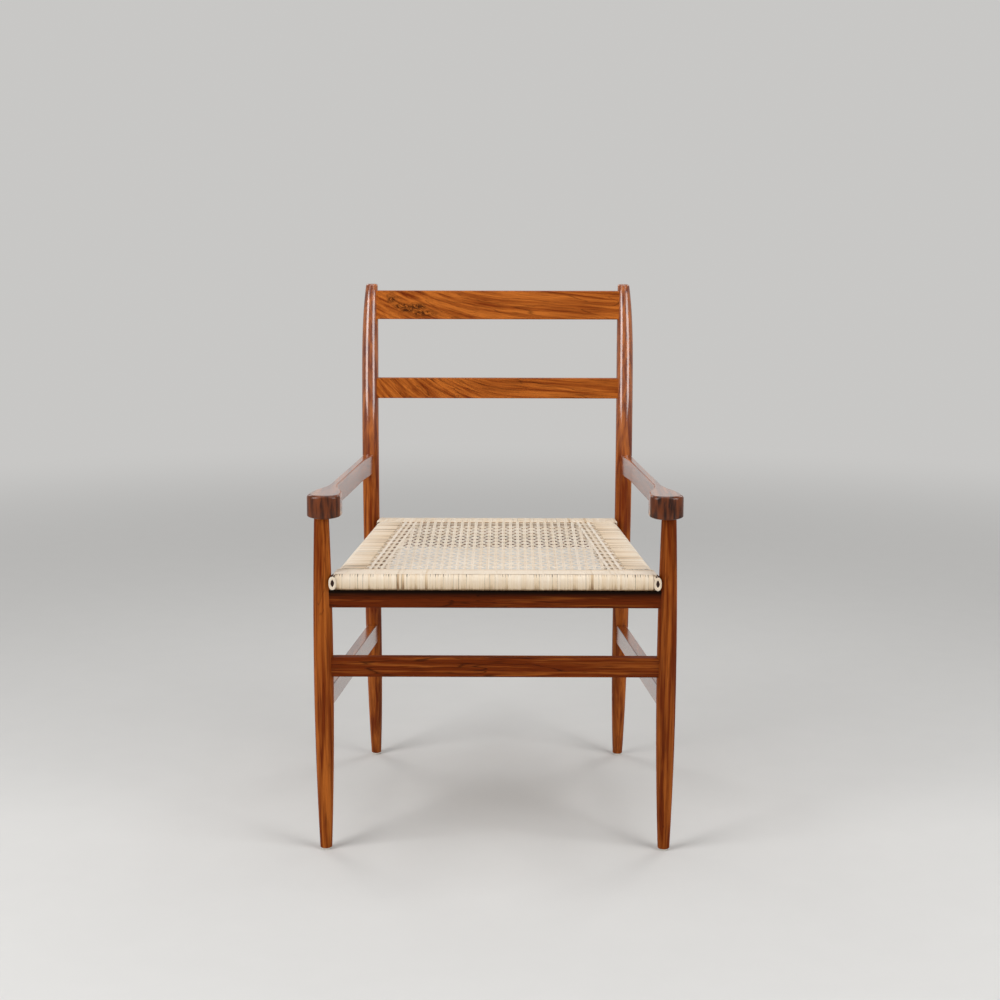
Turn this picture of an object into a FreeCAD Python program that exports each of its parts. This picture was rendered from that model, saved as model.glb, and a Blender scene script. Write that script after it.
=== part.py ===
# Dining armchair: a shaped hardwood frame with a slip seat woven in cane.
# Millimetres. X runs across the chair, Y to its back, Z up.
# Pieces are built with Y = 0 at the front leg axes, then all are moved so that the origin is at the
# middle of the floor area that the chair covers.
import FreeCAD
import Part
import math
import os

from FreeCAD import Placement, Rotation, Vector

# Front legs: turned, fullest below the seat, slim at the foot and under the arm
FRONT_LEG_X = 263.0
LEG_FOOT_D = 18.4
LEG_BELLY_Z = 285.0
LEG_BELLY_D = 30.2
LEG_NECK_D = 22.4
LEG_TENON_D = 14.0
LEG_TENON_LENGTH = 20.0
LEG_RINGS = 10

# Back posts: one sawn and rounded piece from foot to tip, kicked back below the seat, leaning above it
POST_FOOT_X = 217.3
POST_TOP_X = 222.3
POST_Y = 455.5
POST_KNEE_Z = 430.0
POST_FOOT_KICK = 28.5
POST_SLAT_LEAN = 21.5
POST_TOP_LEAN = 62.0
POST_TOP_Z = 842.5
POST_FOOT_D = 17.0
POST_SEAT_D = 28.2
POST_BACK_D = 28.8
POST_TIP_D = 20.0
POST_TIP_INWARD = 0.66
POST_TIP_ROUND = 3.0
POST_TAPER_LENGTH = 192.0
POST_FOOT_TAPER_POWER = 3.8
POST_TIP_TAPER_POWER = 3.6
POST_RINGS = 13

# Round sections are drawn with flat sides, to keep the facets few
ROUND_SIDES = 28
DOWEL_SIDES = 20
FASTENER_SIDES = 12

# Foot glides: a disc and its nail under each foot
GLIDE_D = 15.5
GLIDE_HEIGHT = 3.0
GLIDE_CHAMFER = 1.0
GLIDE_NAIL_D = 2.4
GLIDE_NAIL_LENGTH = 14.0
FOOT_CHAMFER = 0.8

# Seat rails: the slip seat rests on a front and a back rail
RAIL_TOP_Z = 415.5
RAIL_HEIGHT = 27.5
RAIL_THICKNESS = 19.0
BACK_RAIL_THICKNESS = 16.0
BACK_RAIL_FORWARD = 5.0

# Stretchers: the front one is higher than the side ones, which fall a little to the back
FRONT_STRETCHER_Z = 279.0
FRONT_STRETCHER_HEIGHT = 30.5
SIDE_STRETCHER_Z = 224.2
SIDE_STRETCHER_HEIGHT = 32.0
SIDE_STRETCHER_FALL = 10.2
STRETCHER_THICKNESS = 17.0

# Back: crest rail and slat, leaning with the posts
CREST_DROP = 11.7
CREST_HEIGHT = 48.0
SLAT_SHARE = 0.5285
SLAT_HEIGHT = 34.0
BACK_SLAT_THICKNESS = 16.0

# Joints
RAIL_EDGE_ROUND = 1.5
TENON_THICKNESS = 8.0
TENON_SHOULDER = 4.0
TENON_DEPTH = 12.0
TENON_SPACE = 1.0

# Armrests: a slim blade on edge that flares to a paddle over the front leg
ARM_UNDER_Z = 530.3
ARM_HEIGHT = 34.0
ARM_SLOPE_DEG = 1.66
ARM_REAR_WIDTH = 18.0
ARM_REAR_OUT = 3.0
ARM_NECK_LENGTH = 107.0
ARM_WAIST_WIDTH = 12.5
ARM_BOW = 2.0
PADDLE_WIDTH = 49.0
PADDLE_INSET = 5.2
PADDLE_LENGTH = 10.0
PADDLE_FLARE_LENGTH = 114.0
PADDLE_OVERHANG = 38.0
PADDLE_BULGE = 12.0
PADDLE_CORNER_ROUND = 12.0
ARM_EDGE_CHAMFER = 1.8

# Slip seat: four bars wrapped in cane, screwed down through the rails
SEAT_THICKNESS = 25.5
SEAT_FRONT_OVERHANG = 16.0
SEAT_BACK_GAP = 0.5
SEAT_SIDE_INSET = 16.0
SEAT_END_INSET = 11.5
SEAT_BAR_WIDTH = 45.0
SEAT_BAR_ROUND = 9.0
SEAT_BAR_UNDER_ROUND = 4.0
SEAT_CORNER_ROUND = 5.0
SEAT_BACK_ROUND = 7.0
SEAT_TENON_LENGTH = 15.0
SEAT_TENON_THICKNESS = 9.0
SEAT_TENON_WIDTH = 24.0
WRAP_THICKNESS = 2.0
LEG_GAP = 0.6

# Seat screws: heads sunk in the undersides of the rails
SCREW_D = 4.0
SCREW_HEAD_D = 8.5
SCREW_HEAD_HEIGHT = 2.4
SCREW_SINK_D = 9.5
SCREW_SINK_DEPTH = 10.0
SCREW_GRIP = 14.0
FRONT_SCREW_X = 170.0
BACK_SCREW_X = 140.0
BACK_SCREW_IN = 8.0

# Woven cane: lengthwise and crosswise strands and two sets of diagonals, laid one over the other
CANE_PITCH = 11.8
CANE_ROW_PITCH = 13.4
CANE_WIDTH = 4.6
CANE_DIAGONAL_WIDTH = 2.6
CANE_THICKNESS = 0.5
CANE_LAP = 14.0
CANE_SHORTEST = 40.0
CANE_CROSSING_SHIFT = 0.25

LEFT = -1
RIGHT = 1
SIDES = {"left": LEFT, "right": RIGHT}
UP = Vector(0, 0, 1)
CREST_Z = POST_TOP_Z - CREST_DROP - CREST_HEIGHT
SLAT_Z = POST_KNEE_Z + SLAT_SHARE * (POST_TOP_Z - POST_KNEE_Z)
SEAT_TOP_Z = RAIL_TOP_Z + SEAT_THICKNESS
SEAT_FRONT_Y = -SEAT_FRONT_OVERHANG
SEAT_BACK_Y = POST_Y - SEAT_BACK_GAP


# Axes and outlines of the uprights

def leg_axis(side, z):
    """Centre of a front leg at a height."""
    return Vector(side * FRONT_LEG_X, 0, z)


def swell_radius(end_z, end_d):
    """Radius of the arc that swells from a slim end to the leg's belly."""
    rise = end_z - LEG_BELLY_Z
    swell = (LEG_BELLY_D - end_d) / 2
    return (rise * rise + swell * swell) / (2 * swell)


def leg_radius(z):
    """Radius of a front leg at a height."""
    if z < LEG_BELLY_Z:
        arc = swell_radius(GLIDE_HEIGHT, LEG_FOOT_D)
    else:
        arc = swell_radius(ARM_UNDER_Z, LEG_NECK_D)
    return LEG_BELLY_D / 2 - arc + math.sqrt(arc * arc - (z - LEG_BELLY_Z) ** 2)


def post_axis(side, z):
    """Centre of a back post at a height: straight below the knee, a gentle curve above it."""
    x = POST_FOOT_X + (POST_TOP_X - POST_FOOT_X) * z / POST_TOP_Z
    if z <= POST_KNEE_Z:
        y = POST_Y + POST_FOOT_KICK * (POST_KNEE_Z - z) / POST_KNEE_Z
        return Vector(side * x, y, z)
    slat_rise = SLAT_Z + SLAT_HEIGHT / 2 - POST_KNEE_Z
    top_rise = POST_TOP_Z - POST_KNEE_Z
    rise = z - POST_KNEE_Z
    slat_part = POST_SLAT_LEAN * rise * (rise - top_rise) / (slat_rise * (slat_rise - top_rise))
    top_part = POST_TOP_LEAN * rise * (rise - slat_rise) / (top_rise * (top_rise - slat_rise))
    # The tip is thinned mostly on its outer side, so its axis moves in
    thinned = max(0, POST_BACK_D / 2 - post_radius(max(z, POST_TOP_Z - POST_TAPER_LENGTH)))
    return Vector(side * (x - POST_TIP_INWARD * thinned), POST_Y + slat_part + top_part, z)


def post_radius(z):
    """Radius of a back post at a height: tapered to the foot and to the tip."""
    if z <= POST_KNEE_Z:
        share = (POST_KNEE_Z - z) / (POST_KNEE_Z - GLIDE_HEIGHT)
        return (POST_SEAT_D - (POST_SEAT_D - POST_FOOT_D) * share ** POST_FOOT_TAPER_POWER) / 2
    taper_z = POST_TOP_Z - POST_TAPER_LENGTH
    if z <= taper_z:
        share = (z - POST_KNEE_Z) / (taper_z - POST_KNEE_Z)
        return (POST_SEAT_D + (POST_BACK_D - POST_SEAT_D) * share) / 2
    share = (z - taper_z) / POST_TAPER_LENGTH
    return (POST_BACK_D - (POST_BACK_D - POST_TIP_D) * share ** POST_TIP_TAPER_POWER) / 2


# Helpers for bars

def long_edges(shape, direction, length):
    """Edges of a bar that run along it."""
    found = []
    for edge in shape.Edges:
        run = edge.lastVertex().Point - edge.firstVertex().Point
        if edge.Length > 0.7 * length and abs(run.normalize().dot(direction)) > 0.999:
            found.append(edge)
    return found


def polygon_prism(corners, run):
    """Solid of a flat polygon pushed along a run."""
    return Part.Face(Part.makePolygon(corners + corners[:1])).extrude(run)


def placed_box(start, end, near, far, low, high):
    """Box along a plan line, from near to far on its left and from low to high."""
    run = Vector(end.x - start.x, end.y - start.y, 0)
    along = Vector(run).normalize()
    box = Part.makeBox(run.Length, far - near, high - low, Vector(0, near, low))
    box.Placement = Placement(Vector(start.x, start.y, 0), Rotation(along, UP.cross(along), UP, "XZY"))
    return box


def joined(piece, core):
    """Rail with its tenons."""
    return piece.fuse(core).removeSplitter()


# Uprights before their joints are cut

def round_solid(sections, sides=ROUND_SIDES):
    """Solid through level round sections, each given by its centre and radius."""
    turns = [2 * math.pi * (i + 0.5) / sides for i in range(sides)]
    rings = [[c + Vector(math.cos(t), math.sin(t), 0) * r for t in turns] for c, r in sections]
    faces = [Part.Face(Part.makePolygon(ring + ring[:1])) for ring in (rings[0], rings[-1])]
    for low, high in zip(rings, rings[1:]):
        for i in range(sides):
            faces.append(Part.Face(Part.makePolygon([low[i - 1], low[i], high[i], high[i - 1], low[i - 1]])))
    return Part.Solid(Part.Shell(faces))


def turned_rod(axis, outline, sides):
    """Upright rod turned round an axis to an outline of heights and radii."""
    return round_solid([(Vector(axis.x, axis.y, z), r) for z, r in outline], sides)


def even_heights(low, high, count):
    """Heights evenly spaced from low to high."""
    return [low + (high - low) * i / (count - 1) for i in range(count)]


def foot_section(centre, radius):
    """Chamfered end of a foot."""
    return centre, radius - FOOT_CHAMFER


def front_leg_blank(side):
    """Turned leg, long enough to run into the arm."""
    chamfer_z = GLIDE_HEIGHT + FOOT_CHAMFER
    sections = [foot_section(leg_axis(side, GLIDE_HEIGHT), leg_radius(GLIDE_HEIGHT))]
    for z in even_heights(chamfer_z, ARM_UNDER_Z, LEG_RINGS):
        sections.append((leg_axis(side, z), leg_radius(z)))
    sections.append((leg_axis(side, ARM_UNDER_Z + ARM_HEIGHT / 2), LEG_NECK_D / 2))
    return round_solid(sections)


def back_post_blank(side):
    """Post along its bent axis, with a chamfered foot and a rounded tip."""
    chamfer_z = GLIDE_HEIGHT + FOOT_CHAMFER
    round_z = POST_TOP_Z - POST_TIP_ROUND
    sections = [foot_section(post_axis(side, GLIDE_HEIGHT), post_radius(GLIDE_HEIGHT))]
    for z in even_heights(chamfer_z, round_z, POST_RINGS):
        sections.append((post_axis(side, z), post_radius(z)))
    for turn in (30, 60, 90):
        rise = POST_TIP_ROUND * math.sin(math.radians(turn))
        drawn_in = POST_TIP_ROUND * (1 - math.cos(math.radians(turn)))
        z = round_z + rise
        sections.append((post_axis(side, z), post_radius(z) - drawn_in))
    return round_solid(sections)


# Rails: bars from axis to axis, coped to the round uprights, with a tenon core through the middle

def tenon_start(radius):
    """Distance from an upright's axis to the tip of a tenon."""
    return max(radius - TENON_DEPTH, TENON_THICKNESS / 2 + TENON_SPACE)


def level_rail(start, end, low, height, thickness, radii, fall=0.0):
    """Rail between two axis points, falling from start to end: its body and its tenon core."""
    run = Vector(end.x - start.x, end.y - start.y, 0)
    along = Vector(run).normalize()
    across = UP.cross(along)

    def side_face(offset, near, far, shoulder):
        corners = []
        top = height - shoulder
        for distance, rise in ((near, shoulder), (far, shoulder), (far, top), (near, top)):
            plan = Vector(start.x, start.y, 0) + along * distance + across * offset
            corners.append(plan + UP * (low - fall * distance / run.Length + rise))
        return corners

    body = polygon_prism(side_face(-thickness / 2, 0, run.Length, 0), across * thickness)
    direction = (run - UP * fall).normalize()
    body = body.makeFillet(RAIL_EDGE_ROUND, long_edges(body, direction, run.Length))
    near = tenon_start(radii[0])
    far = run.Length - tenon_start(radii[1])
    core = polygon_prism(side_face(-TENON_THICKNESS / 2, near, far, TENON_SHOULDER), across * TENON_THICKNESS)
    return body, core


def leaning_rail(low, height):
    """Crest rail or slat between the posts, leaning with them: its body and its tenon core."""
    def end_face(reach, thickness, shoulder):
        corners = []
        for z, half in ((low + shoulder, -0.5), (low + shoulder, 0.5), (low + height - shoulder, 0.5),
                        (low + height - shoulder, -0.5)):
            corners.append(Vector(-reach, post_axis(RIGHT, z).y + half * thickness, z))
        return corners

    middle_z = low + height / 2
    reach = post_axis(RIGHT, middle_z).x
    body = polygon_prism(end_face(reach, BACK_SLAT_THICKNESS, 0), Vector(2 * reach, 0, 0))
    body = body.makeFillet(RAIL_EDGE_ROUND, long_edges(body, Vector(1, 0, 0), 2 * reach))
    tip = reach - tenon_start(post_radius(middle_z))
    core = polygon_prism(end_face(tip, TENON_THICKNESS, TENON_SHOULDER), Vector(2 * tip, 0, 0))
    return body, core


# Armrests

def s_curve(start, end):
    """Two equal arcs between points (along, across) whose tangents both run along the arm."""
    run = end[0] - start[0]
    shift = end[1] - start[1]
    radius = (run * run + shift * shift) / (4 * shift)
    half_angle = math.asin(run / (2 * radius)) / 2
    step = radius * math.sin(half_angle)
    rise = radius * (1 - math.cos(half_angle))
    middle = (start[0] + run / 2, start[1] + shift / 2)
    first = (start, (start[0] + step, start[1] + rise), middle)
    second = (middle, (end[0] - step, end[1] - rise), end)
    return [first, second]


def arm_blank(side):
    """Arm cut out in plan, its edges eased, then tipped to fall towards the back."""
    rear = post_axis(side, ARM_UNDER_Z)
    front = Vector(side * (FRONT_LEG_X - PADDLE_INSET), PADDLE_BULGE - PADDLE_OVERHANG, ARM_UNDER_Z)
    run = Vector(rear.x + side * ARM_REAR_OUT, rear.y, ARM_UNDER_Z) - front
    length = run.Length
    along = Vector(run).normalize()
    outward = along.cross(UP) * side

    def place(point):
        return front + along * point[0] + outward * point[1]

    edges = []
    waist_start = PADDLE_LENGTH + PADDLE_FLARE_LENGTH
    waist_end = length - ARM_NECK_LENGTH
    for half in (-0.5, 0.5):
        paddle = half * PADDLE_WIDTH
        waist = half * ARM_WAIST_WIDTH + ARM_BOW
        rear_side = half * ARM_REAR_WIDTH
        edges.append(Part.makeLine(place((0, paddle)), place((PADDLE_LENGTH, paddle))))
        edges.append(Part.makeLine(place((waist_start, waist)), place((waist_end, waist))))
        arcs = s_curve((PADDLE_LENGTH, paddle), (waist_start, waist))
        arcs += s_curve((waist_end, waist), (length, rear_side))
        for first, through, last in arcs:
            edges.append(Part.Arc(place(first), place(through), place(last)).toShape())
    edges.append(Part.makeLine(place((length, -ARM_REAR_WIDTH / 2)), place((length, ARM_REAR_WIDTH / 2))))
    corners = (place((0, -PADDLE_WIDTH / 2)), place((-PADDLE_BULGE, 0)), place((0, PADDLE_WIDTH / 2)))
    edges.append(Part.Arc(*corners).toShape())
    outline = Part.Wire(Part.__sortEdges__(edges))
    arm = Part.Face(outline).extrude(UP * ARM_HEIGHT)
    uprights = [e for e in arm.Edges if e.BoundBox.ZLength > ARM_HEIGHT / 2]
    middles = [corner + UP * (ARM_HEIGHT / 2) for corner in (corners[0], corners[2])]
    ends = [e for e in uprights if min(e.CenterOfMass.distanceToPoint(m) for m in middles) < 0.01]
    arm = arm.makeFillet(PADDLE_CORNER_ROUND, ends)
    arm = arm.makeChamfer(ARM_EDGE_CHAMFER, [e for e in arm.Edges if is_arm_rim(e, rear.y)])
    arm.rotate(Vector(0, 0, ARM_UNDER_Z), Vector(1, 0, 0), -ARM_SLOPE_DEG)
    return arm


def is_arm_rim(edge, rear_y):
    """True for the top and bottom edges of an arm, apart from those at its rear end."""
    box = edge.BoundBox
    return box.ZLength < 0.01 and box.YMin < rear_y - ARM_REAR_WIDTH / 2


def arm_tenon(side):
    """Tenon from the arm's rear end into the post."""
    rear = post_axis(side, ARM_UNDER_Z)
    fall = math.tan(math.radians(ARM_SLOPE_DEG)) * rear.y
    low = ARM_UNDER_Z - fall + TENON_SHOULDER
    height = ARM_HEIGHT - 2 * TENON_SHOULDER
    radius = post_radius(low)
    root = Vector(rear.x - TENON_THICKNESS / 2, rear.y - 2 * radius, low)
    return Part.makeBox(TENON_THICKNESS, 2 * radius - tenon_start(radius), height, root)


# Slip seat

def side_line(side, inset):
    """Seat's side line at an inset from the line between leg and post axes, from front to back edge."""
    front = leg_axis(side, 0)
    back = Vector(post_axis(side, POST_KNEE_Z).x, POST_Y, 0)
    along = (back - front).normalize()
    base = front + UP.cross(along) * (side * inset)
    return [base + along * ((y - base.y) / along.y) for y in (SEAT_FRONT_Y, SEAT_BACK_Y)]


def at_depth(line, y):
    """Point of a plan line at a distance behind the front leg axes."""
    start, end = line
    return start + (end - start) * ((y - start.y) / (end.y - start.y))


def seat_plan(inset):
    """Solid over the seat's plan, drawn in by an inset, with the front legs let in."""
    lines = {side: side_line(side, SEAT_SIDE_INSET + inset) for side in SIDES.values()}
    front_x = FRONT_LEG_X - SEAT_END_INSET - inset
    front_y = SEAT_FRONT_Y + inset
    back_y = SEAT_BACK_Y - inset
    corners = []
    for side in (LEFT, RIGHT):
        half = [at_depth(lines[side], back_y), at_depth(lines[side], 0)]
        half += [Vector(side * front_x, 0, 0), Vector(side * front_x, front_y, 0)]
        corners += half if side == LEFT else half[::-1]
    plan = polygon_prism(corners, UP * SEAT_TOP_Z)
    ends = [e for e in plan.Edges if e.BoundBox.ZLength > 1 and e.BoundBox.YMax < front_y + 0.01]
    plan = plan.makeFillet(SEAT_CORNER_ROUND + WRAP_THICKNESS - inset, ends)
    ends = [e for e in plan.Edges if e.BoundBox.ZLength > 1 and e.BoundBox.YMin > back_y - 0.01]
    plan = plan.makeFillet(SEAT_BACK_ROUND + WRAP_THICKNESS - inset, ends)
    for side in SIDES.values():
        let_in = leg_radius(RAIL_TOP_Z) + LEG_GAP + inset
        plan = plan.cut(Part.makeCylinder(let_in, SEAT_TOP_Z, leg_axis(side, 0), UP))
    return plan


def rounded_bar(line, inset):
    """Seat bar inside its outer line, drawn in by an inset, its outer edges rounded."""
    start, end = line
    bar = placed_box(start, end, inset, SEAT_BAR_WIDTH - inset, RAIL_TOP_Z + inset, SEAT_TOP_Z - inset)
    direction = (end - start).normalize()
    across = UP.cross(direction)
    middle_z = (RAIL_TOP_Z + SEAT_TOP_Z) / 2
    outer = []
    for edge in long_edges(bar, direction, (end - start).Length):
        if (edge.CenterOfMass - start).dot(across) < SEAT_BAR_WIDTH / 2:
            outer.append(edge)
    outer.sort(key=lambda edge: edge.CenterOfMass.z > middle_z)
    grown = WRAP_THICKNESS - inset
    bar = bar.makeFillet(SEAT_BAR_UNDER_ROUND + grown, outer[:1])
    top = []
    for edge in long_edges(bar, direction, (end - start).Length):
        reach = (edge.CenterOfMass - start).dot(across)
        if reach < inset + 0.01 and edge.CenterOfMass.z > SEAT_TOP_Z - inset - 0.01:
            top.append(edge)
    return bar.makeFillet(SEAT_BAR_ROUND + grown, top)


def seat_bar_lines():
    """Outer lines of the four seat bars, each with the seat on its left."""
    left = side_line(LEFT, SEAT_SIDE_INSET)
    right = side_line(RIGHT, SEAT_SIDE_INSET)
    reach = FRONT_LEG_X
    return {
        "front": (Vector(-reach, SEAT_FRONT_Y, 0), Vector(reach, SEAT_FRONT_Y, 0)),
        "right": (right[0], right[1]),
        "back": (Vector(reach, SEAT_BACK_Y, 0), Vector(-reach, SEAT_BACK_Y, 0)),
        "left": (left[1], left[0]),
    }


def slab(front_y, back_y):
    """All of the seat between two planes across the chair."""
    reach = FRONT_LEG_X
    return Part.makeBox(2 * reach, back_y - front_y, SEAT_TOP_Z, Vector(-reach, front_y, 0))


def make_seat():
    """Wooden bars of the slip seat and the cane wrapped round each."""
    lines = seat_bar_lines()
    front_face = SEAT_FRONT_Y + SEAT_BAR_WIDTH
    back_face = SEAT_BACK_Y - SEAT_BAR_WIDTH
    wood_slab = slab(front_face - WRAP_THICKNESS, back_face + WRAP_THICKNESS)
    tenon_reach = WRAP_THICKNESS + SEAT_TENON_LENGTH
    tenon_slab = slab(front_face - tenon_reach, back_face + tenon_reach)
    wood = {}
    cane = {}
    for name in ("front", "back"):
        wood[name] = rounded_bar(lines[name], WRAP_THICKNESS).common(seat_plan(WRAP_THICKNESS))
        cane[name] = rounded_bar(lines[name], 0).common(seat_plan(0))
    low = (RAIL_TOP_Z + SEAT_TOP_Z - SEAT_TENON_THICKNESS) / 2
    near = (SEAT_BAR_WIDTH - SEAT_TENON_WIDTH) / 2
    for name in SIDES:
        tenon = placed_box(*lines[name], near, near + SEAT_TENON_WIDTH, low, low + SEAT_TENON_THICKNESS)
        bar = rounded_bar(lines[name], WRAP_THICKNESS).common(wood_slab)
        wood[name] = joined(bar, tenon.common(tenon_slab))
        cane[name] = rounded_bar(lines[name], 0).common(slab(front_face, back_face)).cut(wood[name])
        for end in ("front", "back"):
            wood[end] = wood[end].cut(wood[name])
            cane[end] = cane[end].cut(wood[name])
    for end in ("front", "back"):
        cane[end] = cane[end].cut(wood[end])
    return wood, cane


def seat_screw(axis):
    """Countersunk screw up through a rail into the seat frame, and the hole it needs in the rail."""
    rail_low = RAIL_TOP_Z - RAIL_HEIGHT
    head_z = rail_low + SCREW_SINK_DEPTH
    length = RAIL_TOP_Z + WRAP_THICKNESS + SCREW_GRIP - head_z
    shank_z = head_z + SCREW_HEAD_HEIGHT
    outline = [(head_z, SCREW_HEAD_D / 2), (shank_z, SCREW_D / 2), (head_z + length, SCREW_D / 2)]
    screw = turned_rod(axis, outline, FASTENER_SIDES)
    sink = turned_rod(axis, [(rail_low, SCREW_SINK_D / 2), (head_z, SCREW_SINK_D / 2)], FASTENER_SIDES)
    return screw, sink


# Woven cane

def cane_field():
    """Solid over the woven part of the seat, lapped onto the wrapped bars."""
    inset = SEAT_SIDE_INSET + SEAT_BAR_WIDTH - CANE_LAP
    front_y = SEAT_FRONT_Y + SEAT_BAR_WIDTH - CANE_LAP
    back_y = SEAT_BACK_Y - SEAT_BAR_WIDTH + CANE_LAP
    corners = []
    for side, y in ((LEFT, front_y), (RIGHT, front_y), (RIGHT, back_y), (LEFT, back_y)):
        corners.append(at_depth(side_line(side, inset), y))
    return polygon_prism(corners, UP * (2 * SEAT_TOP_Z))


def cane_strands(field, angle_deg, spacing, shift, width, layer):
    """One set of parallel strands across the field, moved by a share of their spacing, on its own layer."""
    box = field.BoundBox
    reach = math.hypot(box.XLength, box.YLength)
    count = int(reach / spacing / 2)
    low = SEAT_TOP_Z + layer * CANE_THICKNESS
    strands = []
    for i in range(-count, count):
        near = (i + shift) * spacing - width / 2
        strand = Part.makeBox(reach, width, CANE_THICKNESS, Vector(-reach / 2, near, low))
        strand.rotate(Vector(0, 0, 0), UP, angle_deg)
        strand.translate(Vector(box.Center.x, box.Center.y, 0))
        strand = strand.common(field)
        if strand.Volume > CANE_SHORTEST * width * CANE_THICKNESS:
            strands.extend(strand.Solids)
    return Part.makeCompound(strands)


def make_weave():
    """The four sets of strands by node name; the diagonals cross on the lengthwise strands."""
    field = cane_field()
    slope = math.degrees(math.atan2(CANE_ROW_PITCH, CANE_PITCH))
    diagonal = 2 * CANE_PITCH * math.sin(math.radians(slope))
    shift = CANE_CROSSING_SHIFT
    return {
        "cane_lengthwise": cane_strands(field, 90, CANE_PITCH, 0.5, CANE_WIDTH, 0),
        "cane_crosswise": cane_strands(field, 0, CANE_ROW_PITCH, 0.5, CANE_WIDTH, 1),
        "cane_diagonal_left": cane_strands(field, slope, diagonal, -shift, CANE_DIAGONAL_WIDTH, 2),
        "cane_diagonal_right": cane_strands(field, -slope, diagonal, shift, CANE_DIAGONAL_WIDTH, 3),
    }


def foot_glide(foot):
    """Disc on the floor with a nail up into the foot."""
    disc_r = GLIDE_D / 2
    nail_r = GLIDE_NAIL_D / 2
    outline = [(0, disc_r - GLIDE_CHAMFER), (GLIDE_CHAMFER, disc_r), (GLIDE_HEIGHT, disc_r),
               (GLIDE_HEIGHT, nail_r), (GLIDE_HEIGHT + GLIDE_NAIL_LENGTH, nail_r)]
    return turned_rod(foot, outline, DOWEL_SIDES)


# Assembly: uprights, rails and arms, then every joint is cut

def make_frame():
    """All wooden pieces of the frame, with their joints, by node name."""
    pieces = {}
    for name, side in SIDES.items():
        pieces["front_leg_" + name] = front_leg_blank(side)
        pieces["back_post_" + name] = back_post_blank(side)
    blanks = dict(pieces)

    def add_rail(name, parts, uprights):
        body, core = parts
        for upright in uprights:
            body = body.cut(blanks[upright])
            pieces[upright] = pieces[upright].cut(core)
        pieces[name] = joined(body, core)

    legs = ("front_leg_left", "front_leg_right")
    posts = ("back_post_left", "back_post_right")
    rail_low = RAIL_TOP_Z - RAIL_HEIGHT
    leg_r = leg_radius(RAIL_TOP_Z)
    post_r = post_radius(RAIL_TOP_Z)
    back_ends = [post_axis(side, RAIL_TOP_Z) - Vector(0, BACK_RAIL_FORWARD, 0) for side in (LEFT, RIGHT)]
    add_rail("front_seat_rail", level_rail(leg_axis(LEFT, 0), leg_axis(RIGHT, 0), rail_low, RAIL_HEIGHT,
                                           RAIL_THICKNESS, (leg_r, leg_r)), legs)
    add_rail("back_seat_rail", level_rail(back_ends[0], back_ends[1], rail_low, RAIL_HEIGHT,
                                          BACK_RAIL_THICKNESS, (post_r, post_r)), posts)
    leg_r = leg_radius(FRONT_STRETCHER_Z)
    add_rail("front_stretcher", level_rail(leg_axis(LEFT, 0), leg_axis(RIGHT, 0), FRONT_STRETCHER_Z,
                                           FRONT_STRETCHER_HEIGHT, STRETCHER_THICKNESS, (leg_r, leg_r)), legs)
    radii = (leg_radius(SIDE_STRETCHER_Z), post_radius(SIDE_STRETCHER_Z))
    for name, side in SIDES.items():
        rail = level_rail(leg_axis(side, 0), post_axis(side, SIDE_STRETCHER_Z), SIDE_STRETCHER_Z,
                          SIDE_STRETCHER_HEIGHT, STRETCHER_THICKNESS, radii, SIDE_STRETCHER_FALL)
        add_rail("side_stretcher_" + name, rail, ("front_leg_" + name, "back_post_" + name))
    add_rail("crest_rail", leaning_rail(CREST_Z, CREST_HEIGHT), posts)
    add_rail("back_slat", leaning_rail(SLAT_Z, SLAT_HEIGHT), posts)
    for name, side in SIDES.items():
        add_arm(pieces, blanks, name, side)
    return pieces


def add_arm(pieces, blanks, name, side):
    """Armrest on a leg's round tenon, with its own tenon in the back post."""
    leg = "front_leg_" + name
    post = "back_post_" + name
    arm = arm_blank(side)
    ends = (ARM_UNDER_Z - LEG_TENON_LENGTH, ARM_UNDER_Z + LEG_TENON_LENGTH)
    dowel = turned_rod(leg_axis(side, 0), [(z, LEG_TENON_D / 2) for z in ends], DOWEL_SIDES)
    under_arm = max(pieces[leg].cut(arm).Solids, key=lambda solid: solid.Volume)
    pieces[leg] = joined(under_arm, dowel)
    tenon = arm_tenon(side)
    pieces["armrest_" + name] = joined(arm.cut(blanks[post]), tenon).cut(dowel)
    pieces[post] = pieces[post].cut(tenon)


def make_chair():
    """Every piece of the chair by node name, in the building frame."""
    pieces = make_frame()
    wood, cane = make_seat()
    screws = []
    for end, x, y in (("front", FRONT_SCREW_X, 0), ("back", BACK_SCREW_X, SEAT_BACK_Y - BACK_SCREW_IN)):
        for side in SIDES.values():
            screw, sink = seat_screw(Vector(side * x, y, 0))
            screws.append(screw)
            pieces[end + "_seat_rail"] = pieces[end + "_seat_rail"].cut(sink).cut(screw)
            wood[end] = wood[end].cut(screw)
            cane[end] = cane[end].cut(screw)
    pieces["seat_screws"] = Part.makeCompound(screws)
    for part in wood:
        pieces["seat_frame_" + part] = wood[part]
        pieces["cane_wrap_" + part] = cane[part]
    pieces.update(make_weave())
    glides = []
    for name, side in SIDES.items():
        feet = {"front_leg_": leg_axis(side, 0), "back_post_": post_axis(side, GLIDE_HEIGHT)}
        for upright, foot in feet.items():
            glides.append(foot_glide(foot))
            pieces[upright + name] = pieces[upright + name].cut(glides[-1])
    pieces["foot_glides"] = Part.makeCompound(glides)
    return pieces


def middle_of_depth(pieces):
    """Y of the middle between the front of the arms and the back of the posts."""
    front = pieces["armrest_right"].optimalBoundingBox(False).YMin
    back = pieces["back_post_right"].optimalBoundingBox(False).YMax
    return (front + back) / 2


def main():
    os.makedirs("parts", exist_ok=True)
    pieces = make_chair()
    move = Vector(0, -middle_of_depth(pieces), 0)
    for node, shape in pieces.items():
        shape.translate(move)
        shape.exportStep("parts/%s.step" % node)


main()
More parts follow.
